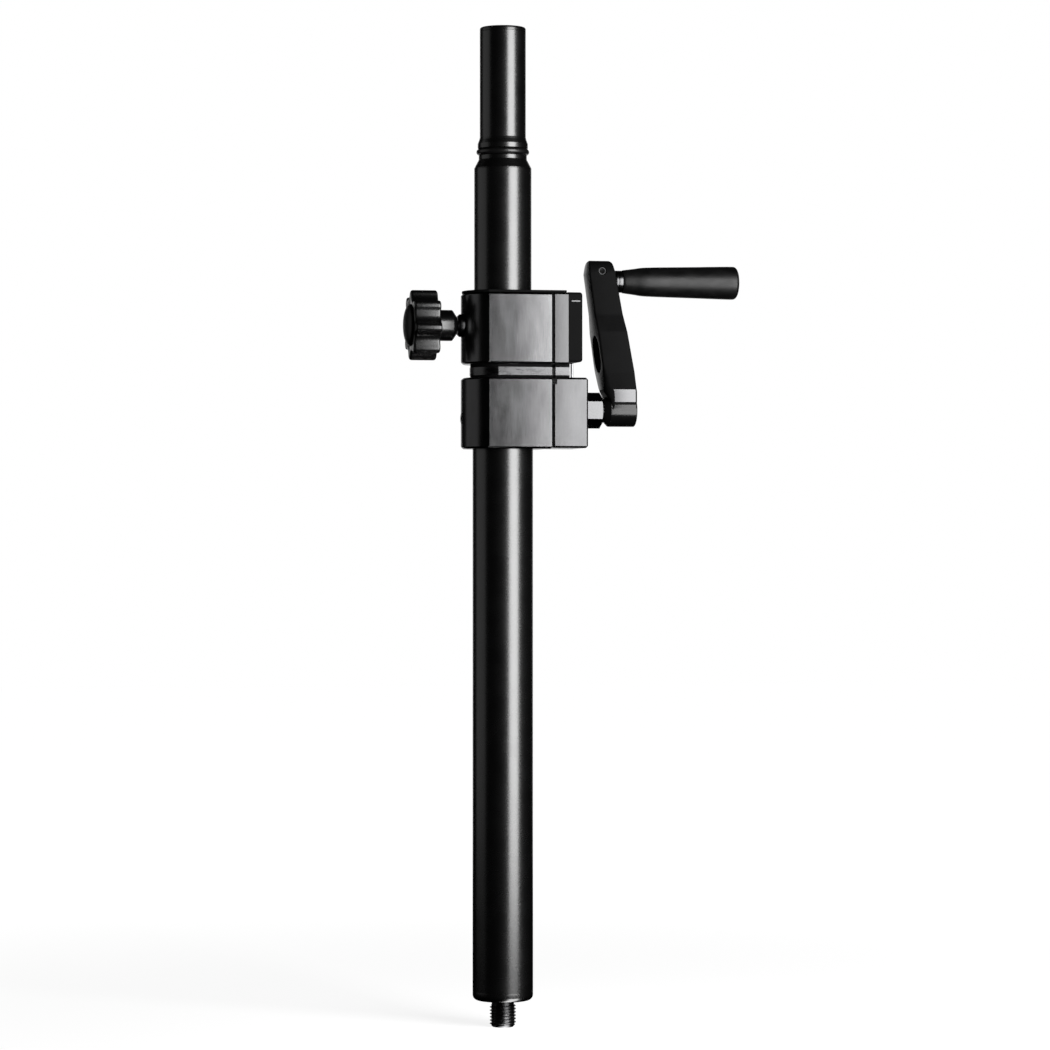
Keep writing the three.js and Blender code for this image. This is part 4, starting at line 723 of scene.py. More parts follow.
housing = prism("drum_housing", strip(HOUSING_X, HOUSING_END, BLOCK_HALF), HOUSING_Z, LOWER_BLOCK_TOP_Z)
past_end = HOUSING_END + BEYOND
past_side = BLOCK_HALF + BEYOND
housing = combined(housing, [
    rod(DRUM_ROOM, HOUSING_X - BEYOND, DRUM_ROOM_END, "x", CRANK_AXIS, 96),
    rod(BEARING_HOLE, DRUM_ROOM_END - BEYOND, past_end, "x", CRANK_AXIS),
    rod(ROPE_HOLE, CRANK_Z, LOWER_BLOCK_TOP_Z + BEYOND, "z", (ROPE_X, 0, 0), 40),
    block((HOUSING_X - BEYOND, -past_side, NOTCH_Z), (FOOT_X, past_side, LOWER_BLOCK_TOP_Z + BEYOND)),
    *[rod(SEAT_RADIUS, SEAT_X, past_end, "x", (0, y, LOWER_BLOCK_Z + z), 48) for y, z in side_screws],
])
housing = edged(housing, side_edges(HOUSING_Z, LOWER_BLOCK_TOP_Z, HOUSING_X, HOUSING_END), 4,
                BLOCK_ROUNDNESS)
add_piece("winch_housing", housing, "base", side_coat, ["drum_housing"])

# %% The pulley bracket and its foot
BRACKET_END = 45.6
FOOT_END = 46.9
FOOT_TOP_Z = 504.9
bracket_outline = strip(HOUSING_X, BRACKET_END, BLOCK_HALF, corner=0.7)
bracket = prism("bracket", bracket_outline, UPPER_BLOCK_Z, UPPER_BLOCK_TOP_Z)
bracket = combined(bracket, [
    block((HOUSING_X - BEYOND, -SLOT_HALF, SLOT_Z), (BRACKET_END + BEYOND, SLOT_HALF, SLOT_TOP_Z))])
bracket_widths = side_edges(UPPER_BLOCK_Z, UPPER_BLOCK_TOP_Z, HOUSING_X, BRACKET_END, end_width=1.5)
bracket = edged(bracket, bracket_widths, 4, BLOCK_ROUNDNESS)
add_piece("bracket", bracket, "base", strip_coat, ["pulley_bracket"])
# The foot, like the neck, is matte black above and below its milled belt as painted shade
bracket_foot = banded("bracket_foot", lambda inset: np.array([
    (FOOT_X, inset - NECK_HALF), (FOOT_END, inset - NECK_HALF), (FOOT_END, NECK_HALF - inset),
    (FOOT_X, NECK_HALF - inset)]), FOOT_TOP_Z)
add_piece("bracket_foot", bracket_foot, "base", arm_coat)
second_finish(bracket_foot, collar_coat, milled_belt)

# %% [markdown]
# ## The moulded cover and the lid
# The pulley hides under a thin moulded cover with soft edges, clipped on by a small latch on each
# side. A superellipsoid-like pillow gives its outside: every point of a box's surface is pulled back to
# an inner box and pushed out again by the edge radius.

# %% The pulley cover
RIM_SHARE = 0.12


def pillow(name, low, high, radius, cells=28):
    """A box with round edges: each point p of a fine box becomes q + radius * (p - q) / |p - q|,
    where q is the nearest point of the box shrunk by the radius."""
    low, high = np.asarray(low, float), np.asarray(high, float)
    third = cells // 3
    line = np.concatenate([
        np.linspace(0, RIM_SHARE, third, endpoint=False),
        np.linspace(RIM_SHARE, 1 - RIM_SHARE, third, endpoint=False), np.linspace(1 - RIM_SHARE, 1, third)])
    u, v = np.meshgrid(line, line, indexing="ij")
    points, faces, used = [], [], 0
    for axis in range(3):
        for side in (0.0, 1.0):
            grid = np.zeros(u.shape + (3,))
            grid[..., axis] = side
            grid[..., (axis + 1) % 3] = u
            grid[..., (axis + 2) % 3] = v
            points.append(grid.reshape(-1, 3) * (high - low) + low)
            faces.append(grid_faces(len(line), len(line), wrap=False) + used)
            used += u.size
    points = np.vstack(points)
    core = np.clip(points, low + radius, high - radius)
    away = points - core
    length = np.maximum(np.linalg.norm(away, axis=1, keepdims=True), 1e-9)
    return mesh_of(name, core + away / length * radius, np.vstack(faces))


COVER_X = BRACKET_END + 0.3
COVER_END = 57.0
COVER_HALF = 24.5
COVER_Z = 505.2
COVER_TOP_Z = 558.2
COVER_EDGE = 2.2
COVER_WALL = 1.3
ROPE_WAY_HALF = 2.1
ROPE_WAY_END = 55.5
before_cover = COVER_X - BEYOND
cover = pillow("cover", (34.9, -COVER_HALF, COVER_Z), (COVER_END, COVER_HALF, COVER_TOP_Z), COVER_EDGE)
cover = combined(cover, [
    block((before_cover - BEYOND, -past_side, COVER_Z - BEYOND), (COVER_X, past_side, COVER_TOP_Z + BEYOND)),
    block((before_cover, COVER_WALL - COVER_HALF, COVER_Z + COVER_WALL),
          (COVER_END - COVER_WALL, COVER_HALF - COVER_WALL, COVER_TOP_Z - COVER_WALL)),
    block((before_cover, -ROPE_WAY_HALF, COVER_Z - BEYOND),
          (ROPE_WAY_END, ROPE_WAY_HALF, COVER_Z + 3 * COVER_WALL)),
])
cover.shade_smooth()
cover.set_sharp_from_angle(angle=SHARP)
add_piece("cover", cover, "base", cover_plastic, ["pulley_cover"])

# %% The cover's latches
LATCH_X = 47.95
LATCH_END = 54.95
LATCH_Z = 550.8
LATCH_TOP_Z = 552.0
LATCH_DEPTHS = (-0.3, 0.7)
for side, name in ((-1, "latch_front"), (1, "latch_back")):
    y0, y1 = sorted(side * (COVER_HALF + depth) for depth in LATCH_DEPTHS)
    latch = edged(block((LATCH_X, y0, LATCH_Z), (LATCH_END, y1, LATCH_TOP_Z)), lambda middle, along: 0.25)
    add_piece(name, latch, "base", nut_steel)


# %% The lid
plate_screws = [(-13.71, 23.75), (-13.71, -23.75), (26.8, 21.2), (26.8, -21.2)]
LID_Z = UPPER_BLOCK_TOP_Z + JOINT_GAP
LID_TOP_Z = 559.4
LID_INSET = 0.8
LID_REACH = 44.0
LID_BORE = 22.15
LID_SEAT_Z = 557.9
LID_SEAT_RADIUS = 2.95
lid = prism("lid", round_back(BLOCK_RADIUS - LID_INSET, BLOCK_HALF - LID_INSET, LID_REACH), LID_Z, LID_TOP_Z)
above_lid = LID_TOP_Z + BEYOND
lid = combined(lid, [
    rod(LID_BORE, LID_Z - BEYOND, above_lid, "z", POLE_AXIS, 144),
    *[rod(LID_SEAT_RADIUS, LID_SEAT_Z, above_lid, "z", (x, y, 0), 40) for x, y in plate_screws],
])
lid = edged(lid, lambda middle, along: 0.35)
add_piece("lid", lid, "base", cover_plastic, ["top_plate"])

# %% [markdown]
# ## Screws
# Every socket screw is the same form at a different size: a cylinder with an eased rim and a hexagonal
# hole for the key. One function makes them all, along the axis they point out of.

# %% Socket screws
KEY_SHARE = 0.45


def hexagon(across, turn=0.0):
    """Six corners, from the distance across two opposite flats."""
    angle = turn + np.arange(6) * np.pi / 3
    corner = across / math.sqrt(3)
    return np.column_stack([corner * np.cos(angle), corner * np.sin(angle)])


def socket_screw(name, axis, centre, head_radius, head_height, radius, length):
    """A screw whose head starts at its centre point and rises along the axis, its shank behind it."""
    profile = filleted([
        (0, -length, 0), (radius, -length, 0.4), (radius, 0, 0), (head_radius, 0, 0.15),
        (head_radius, head_height, 0.35), (0, head_height, 0)], steps=4)
    body = turned(name, profile, axis, centre, sides=48)
    key = prism("key", hexagon(head_radius), head_height * KEY_SHARE, head_height + BEYOND, axis)
    body = combined(body, [moved(key, centre)])
    body.shade_smooth()
    body.set_sharp_from_angle(angle=SHARP)
    return body


for number, (y, z) in enumerate(side_screws, 1):
    name = f"housing_bolt_{number}"
    screw = socket_screw(name, "x", (SEAT_X + JOINT_GAP, y, LOWER_BLOCK_Z + z), head_radius=4.25,
                         head_height=4.9, radius=2.5, length=31.4)
    add_piece(name, screw, "base", dark_steel, [f"housing_screw_{number}"])
for number, (x, y) in enumerate(plate_screws, 1):
    name = f"lid_screw_{number}"
    screw = socket_screw(name, "z", (x, y, LID_SEAT_Z + JOINT_GAP / 2), head_radius=2.8, head_height=1.35,
                         radius=1.5, length=5.8)
    add_piece(name, screw, "base", dark_steel, [f"top_plate_screw_{number}"])
grub = socket_screw("tube_lock", "x", POLE_AXIS, head_radius=4.0, head_height=1.9, radius=2.5, length=7.3)
grub.transform(Matrix.Rotation(math.pi, 4, "Z"))
grub = moved(grub, (GRUB_SEAT_X, 0, GRUB_Z))
add_piece("tube_lock", grub, "base", dark_steel, ["tube_lock_screw"])

# %% [markdown]
# ## The lock knob
# A knob with eight lobes is a star seen along its axis: round lobes, with a scallop between each two as
# wide as a fingertip. Near each end the whole star shrinks by the rim's radius along a quarter circle, so
# that the rim is round all the way, and the end face dips a little towards the cap.

# %% The knob's sizes
KNOB_FACE_X = -72.0
KNOB_BACK_X = -51.4
LOBES = 8
KNOB_TIP = 26.6
LOBE_RADIUS = 3.8
SCALLOP_CENTRE = 29.6
KNOB_TURN = 0.122
KNOB_RIM = 1.9
KNOB_BORE = 4.15
DISH_RADIUS = 16.4
DISH_DEPTH = 0.3
# The hub's radii and places along x, from the insert to the back of the lobes
KNOB_HUB = [(KNOB_BORE, -36.3), (7.0, -36.3), (7.2, -36.4), (11.4, -39.3), (11.8, -39.9), (11.8, -49.8),
            (12.0, -50.8), (12.9, -51.3), (14.5, KNOB_BACK_X)]
# The seat of the cap in the front face, and the bore behind it
KNOB_SEAT = [(15.95, -71.5), (15.85, -71.0), (KNOB_BORE, -71.0), (KNOB_BORE, -56.0)]

# %% The knob
def star(angle):
    """The radius of the star at each angle: a lobe's circle, or a scallop's past where the two touch.

    A ray at angle a from a circle of radius r at distance c meets it at c cos a +- root(r^2 - c^2 sin^2 a),
    the far side for a lobe and the near side for a scallop.
    """
    half_step = np.pi / LOBES
    from_lobe = (angle - KNOB_TURN + half_step) % (2 * half_step) - half_step
    from_scallop = (angle - KNOB_TURN) % (2 * half_step) - half_step
    lobe_centre = KNOB_TIP - LOBE_RADIUS
    apart = np.array([SCALLOP_CENTRE * math.cos(half_step) - lobe_centre,
                      SCALLOP_CENTRE * math.sin(half_step)])
    distance = np.linalg.norm(apart)
    scallop_radius = distance - LOBE_RADIUS
    touch = apart / distance * LOBE_RADIUS + [lobe_centre, 0]
    lobe = lobe_centre * np.cos(from_lobe) + np.sqrt(
        np.maximum(LOBE_RADIUS ** 2 - (lobe_centre * np.sin(from_lobe)) ** 2, 0))
    scallop = SCALLOP_CENTRE * np.cos(from_scallop) - np.sqrt(
        np.maximum(scallop_radius ** 2 - (SCALLOP_CENTRE * np.sin(from_scallop)) ** 2, 0))
    return np.where(np.abs(from_lobe) < math.atan2(touch[1], touch[0]), lobe, scallop)


def knob_mesh():
    """Rings of the star, each shrunk by an inset; the insets trace the rounded rim from hub to cap."""
    angle = np.linspace(0, 2 * np.pi, 384, endpoint=False)
    quarter = np.linspace(0, np.pi / 2, 8)
    outer = star(angle)
    front = outer - KNOB_RIM
    rings = [(np.full_like(angle, radius), x) for radius, x in KNOB_HUB]
    rings += [(outer - KNOB_RIM * (1 - math.sin(b)), KNOB_BACK_X - KNOB_RIM * (1 - math.cos(b)))
              for b in quarter]
    rings += [(outer - KNOB_RIM * (1 - math.cos(b)), KNOB_FACE_X + KNOB_RIM * (1 - math.sin(b)))
              for b in quarter]
    rings += [(DISH_RADIUS + (front - DISH_RADIUS) * share, KNOB_FACE_X + DISH_DEPTH * dip)
              for share, dip in [(0.7, 0), (0.3, 0.5), (0, 1)]]
    rings += [(np.full_like(angle, radius), x) for radius, x in KNOB_SEAT]
    rings.append(rings[0])
    points = [np.column_stack([np.full_like(angle, x), -r * np.sin(angle), r * np.cos(angle) + LOCK_Z])
              for r, x in rings]
    return mesh_of("knob", np.vstack(points), grid_faces(len(rings), len(angle)))


add_piece("knob", knob_mesh(), "lock_knob", black_plastic, ["lock_knob"])

# %% The knob's cap and screw, and the insert in the block
DOME_RADIUS = 15.7
DOME_HEIGHT = 4.4
DOME_BACK_X = -71.1
dome = [(DOME_RADIUS * math.cos(b), KNOB_FACE_X - DOME_HEIGHT * math.sin(b))
        for b in np.linspace(0, np.pi / 2, 14)]
cap = turned("knob_dome", [(0, DOME_BACK_X), (DOME_RADIUS, DOME_BACK_X)] + dome, "x", LOCK_AXIS, sides=96)
add_piece("knob_dome", cap, "lock_knob", grip_plastic, ["knob_cap"])
screw = turned("knob_screw", [(0, -56.2), (4.0, -56.2), (4.0, -25.9), (3.5, -25.4), (0, -25.4)], "x",
               LOCK_AXIS, sides=48)
add_piece("knob_screw", screw, "lock_knob", bright_steel, ["lock_screw"])
insert_profile = filleted([
    (4.15, -27.9, 0), (7.0, -27.9, 0.4), (7.0, -30.5, 0), (8.65, -30.5, 0.2), (8.65, -33.8, 0.4),
    (6.95, -35.5, 0.4), (4.15, -35.5, 0)], steps=3)
insert = turned("insert", insert_profile, "x", LOCK_AXIS, sides=72, closed=True)
add_piece("insert", insert, "base", dark_steel, ["lock_insert"])

# %% [markdown]
# ## The crank
# The crank turns about an axis across the pole. Its bearing is a hexagon whose corners are turned off
# to 30 degrees, its arm is a forging with rounded corners that leans back and thickens downwards, and a
# bright facet is milled on each side above the hub. The arm is a loft: one rounded rectangle for each
# height, with its round top made by heights that bunch up towards the crest.

# %% The hexagonal bearing
BEARING_X = 60.7
BEARING_END = 79.2
ACROSS_FLATS = 24.5
BEARING_BORE = 6.15
LONG_EDGE = 0.8
SHORT_EDGE = 0.15
cone = turned("cone", [
    (0, BEARING_X), (16.0, BEARING_X), (16.0, 76.9), (ACROSS_FLATS / 2, 77.9), (10.4, BEARING_END),
    (0, BEARING_END)], "x", CRANK_AXIS, sides=128)
nut = moved(prism("nut", hexagon(ACROSS_FLATS, math.pi / 2), BEARING_X, BEARING_END, "x"), CRANK_AXIS)
nut = combined(nut, [cone], "INTERSECT")
nut = combined(nut, [rod(BEARING_BORE, BEARING_X - BEYOND, BEARING_END + BEYOND, "x", CRANK_AXIS)])


def bearing_edges(middle, along):
    """A chamfer on the six long edges, and a fine one elsewhere."""
    return LONG_EDGE if along[0] > MOSTLY and middle[0] > BEARING_X + 1 else SHORT_EDGE


nut = edged(nut, bearing_edges, 1)
add_piece("hex_nut", nut, "base", nut_steel, ["hex_bearing"])

# %% The arm's sizes
HUB_X = 80.0
HUB_END = 104.9
ARM_TOP = 115.0
HANDLE_Z = 568.7
FACET_LOW = 6.4
FACET_HIGH = 16.0
FACET_HALF = 13.0
HUB_RADIUS = 12.4
TOP_HALF = 11.25
OUTER_EASE = 1.3
# The arm's half width and its inner corners' radius, each over the height above the crank's axis
ARM_HALVES = [(0, HUB_RADIUS), (FACET_LOW, FACET_HALF), (FACET_HIGH, FACET_HALF), (17.6, 13.3), (29, 16),
              (59.7, 16), (66.7, 13.6), (73.7, TOP_HALF)]
INNER_EASES = [(0, 2.2), (7, 2.8), (15.2, 7.4), (17.6, 4.6), (34, OUTER_EASE)]
# The arm's two faces at its foot, and how far each leans towards the pole over the leaning height
INNER_X = 79.4
OUTER_X = 104.5
LEAN_START = 14.6
LEAN_HEIGHT = 98.2
INNER_LEAN = 13.1
OUTER_LEAN = 18.0
# Under the lean's start the inner face steps back to the hub
STEP_BACK = 4.8
STEP_HEIGHT = 7.6
# The inner face slants off near the top, and the last few millimetres are rounded
SLANT_START = 104.6
SLANT = 0.21
CREST_START = 112.2
CREST_DEPTH = 1.3

# %% The arm's loft
def rounded_section(x0, x1, half, inner, outer, steps=6):
    """A rectangle from x0 to x1 and from -half to half, with its inner and outer corners rounded."""
    largest = half * 0.96
    inner, outer = min(inner, largest), min(outer, largest)
    return filleted([(x0, -half, inner), (x1, -half, outer), (x1, half, outer), (x0, half, inner)],
                    closed=True, steps=steps)


def arm_mesh():
    """One rounded rectangle for each height; above the last shoulder the half width is that of a circle.

    Each face is a sum of ramps over the height: its lean, the step back to the hub, the slant at the top
    corner, and the crest, which grows with the square of the height.
    """
    halves = np.array(ARM_HALVES)
    eases = np.array(INNER_EASES)
    straight = np.concatenate([
        np.linspace(0, FACET_LOW, 4), np.linspace(8, FACET_HIGH, 6), [16.8, 17.6], np.linspace(19, 66, 38),
        np.linspace(67, 102.6, 30)])
    heights = [(h, float(np.interp(h, halves[:, 0], halves[:, 1]))) for h in straight]
    centre = ARM_TOP - TOP_HALF
    round_top = np.linspace(0.02, 1.565, 26)
    heights += [(centre + TOP_HALF * math.sin(t), TOP_HALF * math.cos(t)) for t in round_top]
    sections = []
    for h, half in heights:
        lean = max(0.0, h - LEAN_START) / LEAN_HEIGHT
        step = STEP_BACK * max(0.0, min(1.0, (LEAN_START - h) / STEP_HEIGHT))
        slant = SLANT * max(0.0, h - SLANT_START)
        crest = CREST_DEPTH * max(0.0, (h - CREST_START) / (ARM_TOP - CREST_START)) ** 2
        inner = INNER_X - INNER_LEAN * lean + step + slant + crest
        outer = OUTER_X - OUTER_LEAN * lean - crest
        line = rounded_section(inner, outer, half, float(np.interp(h, eases[:, 0], eases[:, 1])), OUTER_EASE)
        sections.append(np.column_stack([
            line[:, 0], line[:, 1] + CRANK_Y, np.full(len(line), h + CRANK_Z)]))
    count = len(sections[0])
    faces = grid_faces(len(sections), count).tolist() + [list(range(count))]
    faces.append([(len(sections) - 1) * count + k for k in range(count)])
    return mesh_of("arm", np.vstack(sections), faces)


# %% The arm with its hub, its pocket and its holes
HUB_DISC_X = 99.3
SHAFT_END = 98.6
PIN_SEAT_X = 89.0
ROLL_PIN = (77.8, 0, 576.2)
handle_axis = (0, CRANK_Y, HANDLE_Z)
hub_profile = filleted([
    (0, HUB_X, 0), (8.2, HUB_X, 0.5), (HUB_RADIUS, HUB_X + 4.2, 0.8), (HUB_RADIUS, HUB_END, 0.9),
    (0, HUB_END, 0)], steps=5)
hub = turned("hub", hub_profile, "x", CRANK_AXIS, sides=128)

# The pocket is a long hole with half round ends
POCKET_RADIUS = 10.5
POCKET_HALF = 4.0
POCKET_HEIGHT = 43.2
POCKET_FLOOR_X = 81.6
turns = np.linspace(0, 2 * np.pi, 72, endpoint=False)
pocket_line = np.column_stack([
    POCKET_RADIUS * np.cos(turns),
    POCKET_RADIUS * np.sin(turns) + np.where(np.sin(turns) >= 0, POCKET_HALF, -POCKET_HALF)])
pocket = prism("pocket", pocket_line, POCKET_FLOOR_X - 4 * BEYOND, POCKET_FLOOR_X, "x")
arm = combined(arm_mesh(), [hub], "UNION")
arm = combined(arm, [
    moved(pocket, (0, CRANK_Y, CRANK_Z + POCKET_HEIGHT)),
    rod(BEARING_BORE, HUB_X - BEYOND, SHAFT_END, "x", CRANK_AXIS),
    rod(7.8, HUB_DISC_X, HUB_END + BEYOND, "x", CRANK_AXIS, 96),
    rod(8.8, PIN_SEAT_X, PIN_SEAT_X + BEYOND, "x", handle_axis, 96),
    rod(BEARING_BORE, 71.1, PIN_SEAT_X + BEYOND, "x", handle_axis),
    rod(3.15, CRANK_Y - TOP_HALF - BEYOND, CRANK_Y + TOP_HALF + BEYOND, "y", ROLL_PIN, 48),
])
arm.shade_smooth()
arm.set_sharp_from_angle(angle=SHARP)
add_piece("arm", arm, "crank", arm_coat, ["crank_arm"])

# %% The milled facet on each side of the hub
def side_facet(centres, normals):
    """The flat sides of the arm between the two heights of the facet."""
    height = centres[:, 2] - CRANK_Z
    flat = (np.abs(normals[:, 1]) > 0.995) & (np.abs(np.abs(centres[:, 1] - CRANK_Y) - FACET_HALF) < 0.2)
    return flat & (height > FACET_LOW) & (height < FACET_HIGH)


def turned_or_inner(centres, normals):
    """The round side of the hub, and the arm's face towards the pole."""
    across = np.hypot(centres[:, 1] - CRANK_Y, centres[:, 2] - CRANK_Z)
    low = centres[:, 2] < CRANK_Z + FACET_LOW
    hub_side = low & (across < FACET_HALF + 0.3) & (centres[:, 0] > HUB_X + 3)
    return hub_side | ((normals[:, 0] < -0.97) & (centres[:, 2] > CRANK_Z + FACET_HIGH))


second_finish(arm, facet_steel, side_facet)
second_finish(arm, hub_coat, turned_or_inner)

# %% The grip's pin
PIN_RADIUS = 6.0
PIN_WAIST = 4.2
COLLAR_RADIUS = 8.5
COLLAR_GROOVE = 8.25
COLLAR_END = 94.9
SPINDLE_RADIUS = 4.5
SPINDLE_END = 181.1
BOLT_HOLE = 2.15
BOLT_HOLE_X = 167.2
pin_profile = filleted([
    (0, 71.4, 0), (PIN_RADIUS, 71.4, 0.5), (PIN_RADIUS, 74.2, 0), (PIN_WAIST, 74.2, 0), (PIN_WAIST, 81.4, 0),
    (PIN_RADIUS, 81.4, 0), (PIN_RADIUS, 89.3, 0), (COLLAR_RADIUS, 89.3, 0.3), (COLLAR_RADIUS, 91.2, 0.1),
    (COLLAR_GROOVE, 91.4, 0), (COLLAR_GROOVE, 91.7, 0), (COLLAR_RADIUS, 91.9, 0.1),
    (COLLAR_RADIUS, COLLAR_END, 0.4), (SPINDLE_RADIUS, COLLAR_END, 0), (SPINDLE_RADIUS, SPINDLE_END, 0),
    (BOLT_HOLE, SPINDLE_END, 0), (BOLT_HOLE, BOLT_HOLE_X, 0), (0, BOLT_HOLE_X, 0)], steps=4)
add_piece("pin", turned("pin", pin_profile, "x", handle_axis, sides=96), "crank", pin_steel,
          ["handle_pin"])


# %% The cross pin
ROLL_HALF = 9.2
ROLL_EASE = 0.3
ROLL_RADIUS = 3.0
ROLL_BORE = 2.2
roll_side = [(ROLL_BORE, -ROLL_HALF), (ROLL_RADIUS - ROLL_EASE, -ROLL_HALF),
             (ROLL_RADIUS, ROLL_EASE - ROLL_HALF)]
roll_profile = roll_side + [(radius, -height) for radius, height in roll_side[::-1]]
roll = turned("roll_pin", roll_profile, "y", np.add(ROLL_PIN, (0, CRANK_Y, 0)), sides=48, closed=True)
add_piece("roll_pin", roll, "crank", arm_coat, ["handle_roll_pin"])
second_finish(roll, dark_steel,
              lambda centres, normals: np.abs(centres[:, 1] - CRANK_Y) > ROLL_HALF - ROLL_EASE - 0.05)


# %% The grip, whose outline is smoothed as a turned one is
GRIP_X = 95.2
GRIP_LAST_X = 178.7
GRIP_END = 186.1
GRIP_BORE = 4.65
GRIP_SEAT = 8.0
SMOOTHINGS = 6
GRIP_PROFILE = [(GRIP_X, 8.75), (100.5, 9.45), (105, 10.0), (108.8, 10.7), (112.6, 11.1), (116.3, 11.2),
                (124, 11.45), (132, 11.6), (140, 11.78), (155, 12.1), (163, 12.35), (GRIP_LAST_X, 12.7)]
knots = np.array(GRIP_PROFILE)
reach = np.linspace(GRIP_X, GRIP_LAST_X, 90)
smooth = np.interp(reach, knots[:, 0], knots[:, 1])
for _ in range(SMOOTHINGS):
    smooth[1:-1] = (smooth[:-2] + 2 * smooth[1:-1] + smooth[2:]) / 4
grip_outside = np.column_stack([smooth, reach])
grip_end = filleted([
    (12.7, GRIP_LAST_X, 0), (12.72, GRIP_END, 2.9), (GRIP_SEAT, GRIP_END, 0.5), (GRIP_SEAT, SPINDLE_END, 0.3),
    (GRIP_BORE, SPINDLE_END, 0)], steps=8)
grip_profile = np.vstack([[(GRIP_BORE, GRIP_X)], [(COLLAR_RADIUS, GRIP_X)], grip_outside[1:], grip_end[1:]])
grip = turned("grip", grip_profile, "x", handle_axis, sides=128, closed=True)
add_piece("grip", grip, "grip", grip_plastic, ["handle_grip"])

# %% Washers and bolts of the crank
def disc(name, bore, radius, start, end, centre, node):
    """A flat washer between two places along x."""
    profile = [(bore, start), (radius, start), (radius, end), (bore, end)]
    mesh = turned(name, profile, "x", centre, sides=64, closed=True)
    add_piece(name, mesh, "crank", bright_steel, [node])


disc("grip_disc", BOLT_HOLE, 7.1, SPINDLE_END + JOINT_GAP, 182.4, handle_axis, "grip_washer")
bolt = socket_screw("grip_bolt", "x", (182.5, CRANK_Y, HANDLE_Z), head_radius=3.5, head_height=2.7,
                    radius=2.0, length=14)
add_piece("grip_bolt", bolt, "crank", dark_steel, ["grip_screw"])
disc("hub_disc", 2.65, 7.2, HUB_DISC_X + JOINT_GAP, 100.8, CRANK_AXIS, "crank_washer")
bolt = socket_screw("hub_bolt", "x", (100.9, CRANK_Y, CRANK_Z), head_radius=4.25, head_height=3.3,
                    radius=2.5, length=14)
add_piece("hub_bolt", bolt, "crank", dark_steel, ["crank_screw"])

# %% [markdown]
# ## The wire rope
# A wire rope is a bundle of strands that turn round each other. Seen in section it is a rosette, and
# the rosette turns as it goes along, so one formula gives both: the radius swings with the angle minus
# the twist. The run inside the mast gets shorter as the mast rises; here it is made at one length,
# with a mesh of its own.

# %% Both runs of the rope
STRAND_DEPTH = 0.14
ROPE_GROOVE_X = 20.3
ROPE_LOW_Z = 65.4
ROPE_END_Z = 532.1


def rope(name, centre_line, radius=1.0, strands=6, lay=7.0, sides=24):
    """radius * (1 - depth + depth * |cos(strands / 2 * (angle - twist))|) round a path.

    The twist is one turn for each lay of length.
    """
    step = np.gradient(centre_line, axis=0)
    step /= np.linalg.norm(step, axis=1, keepdims=True)
    side = np.tile([0.0, 1.0, 0.0], (len(step), 1))
    up = np.cross(step, side)
    length = np.concatenate([[0], np.cumsum(np.linalg.norm(np.diff(centre_line, axis=0), axis=1))])
    angle = np.linspace(0, 2 * np.pi, sides, endpoint=False)
    twist = length[:, None] / lay * 2 * np.pi
    ripple = np.abs(np.cos(strands / 2 * (angle[None, :] - twist)))
    swell = radius * (1 - STRAND_DEPTH + STRAND_DEPTH * ripple)
    points = (centre_line[:, None, :] + swell[..., None] * (
        np.cos(angle)[None, :, None] * side[:, None, :] + np.sin(angle)[None, :, None] * up[:, None, :]))
    points = np.concatenate([np.repeat(centre_line[:1, None], sides, 1), points,
                             np.repeat(centre_line[-1:, None], sides, 1)])
    return mesh_of(name, points.reshape(-1, 3), grid_faces(len(centre_line) + 2, sides))


rise = np.linspace(CRANK_Z, PULLEY_Z, 150)
bend = np.linspace(0, np.pi, 110)[1:]
outer_line = np.vstack([
    np.column_stack([np.full_like(rise, ROPE_X), np.zeros_like(rise), rise]),
    np.column_stack([PULLEY_X + PULLEY_PITCH * np.cos(bend), np.zeros_like(bend),
                     PULLEY_Z + PULLEY_PITCH * np.sin(bend)])])
add_piece("rope_outside", rope("rope_outside", outer_line), "base", bright_steel,
          ["rope_outer_run"])
drop = np.linspace(ROPE_LOW_Z, ROPE_END_Z, 900)
inner_line = np.column_stack([np.full_like(drop, ROPE_GROOVE_X), np.zeros_like(drop), drop])
inside = add_piece("rope_inside", rope("rope_inside", inner_line, sides=12), "base",
                   bright_steel, ["rope_inner_run"])
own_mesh(inside)

# %% [markdown]
# ## What stays from the CAD
# The pieces that are hidden inside keep their CAD form and only get their finish.

# %% Finishes for the pieces that stay
kept = {
    "stop_buffer": rubber, "drum_end_bush": brass, "top_guide_bush": nylon, "pulley_axle": bright_steel,
    "rope_pulley": nylon, "mast_foot": nylon, "rope_ferrule": brass, "crank_shaft": bright_steel,
    "rope_drum": dark_steel, "drum_rope": bright_steel, "brake_lining": lining, "lock_pad": brass,
}
kept.update({f"bracket_screw_{number}": dark_steel for number in range(1, 5)})
for name, material in kept.items():
    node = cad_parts[name]
    node.data.materials.clear()
    node.data.materials.append(material)
print("kept from the CAD:", len(kept))
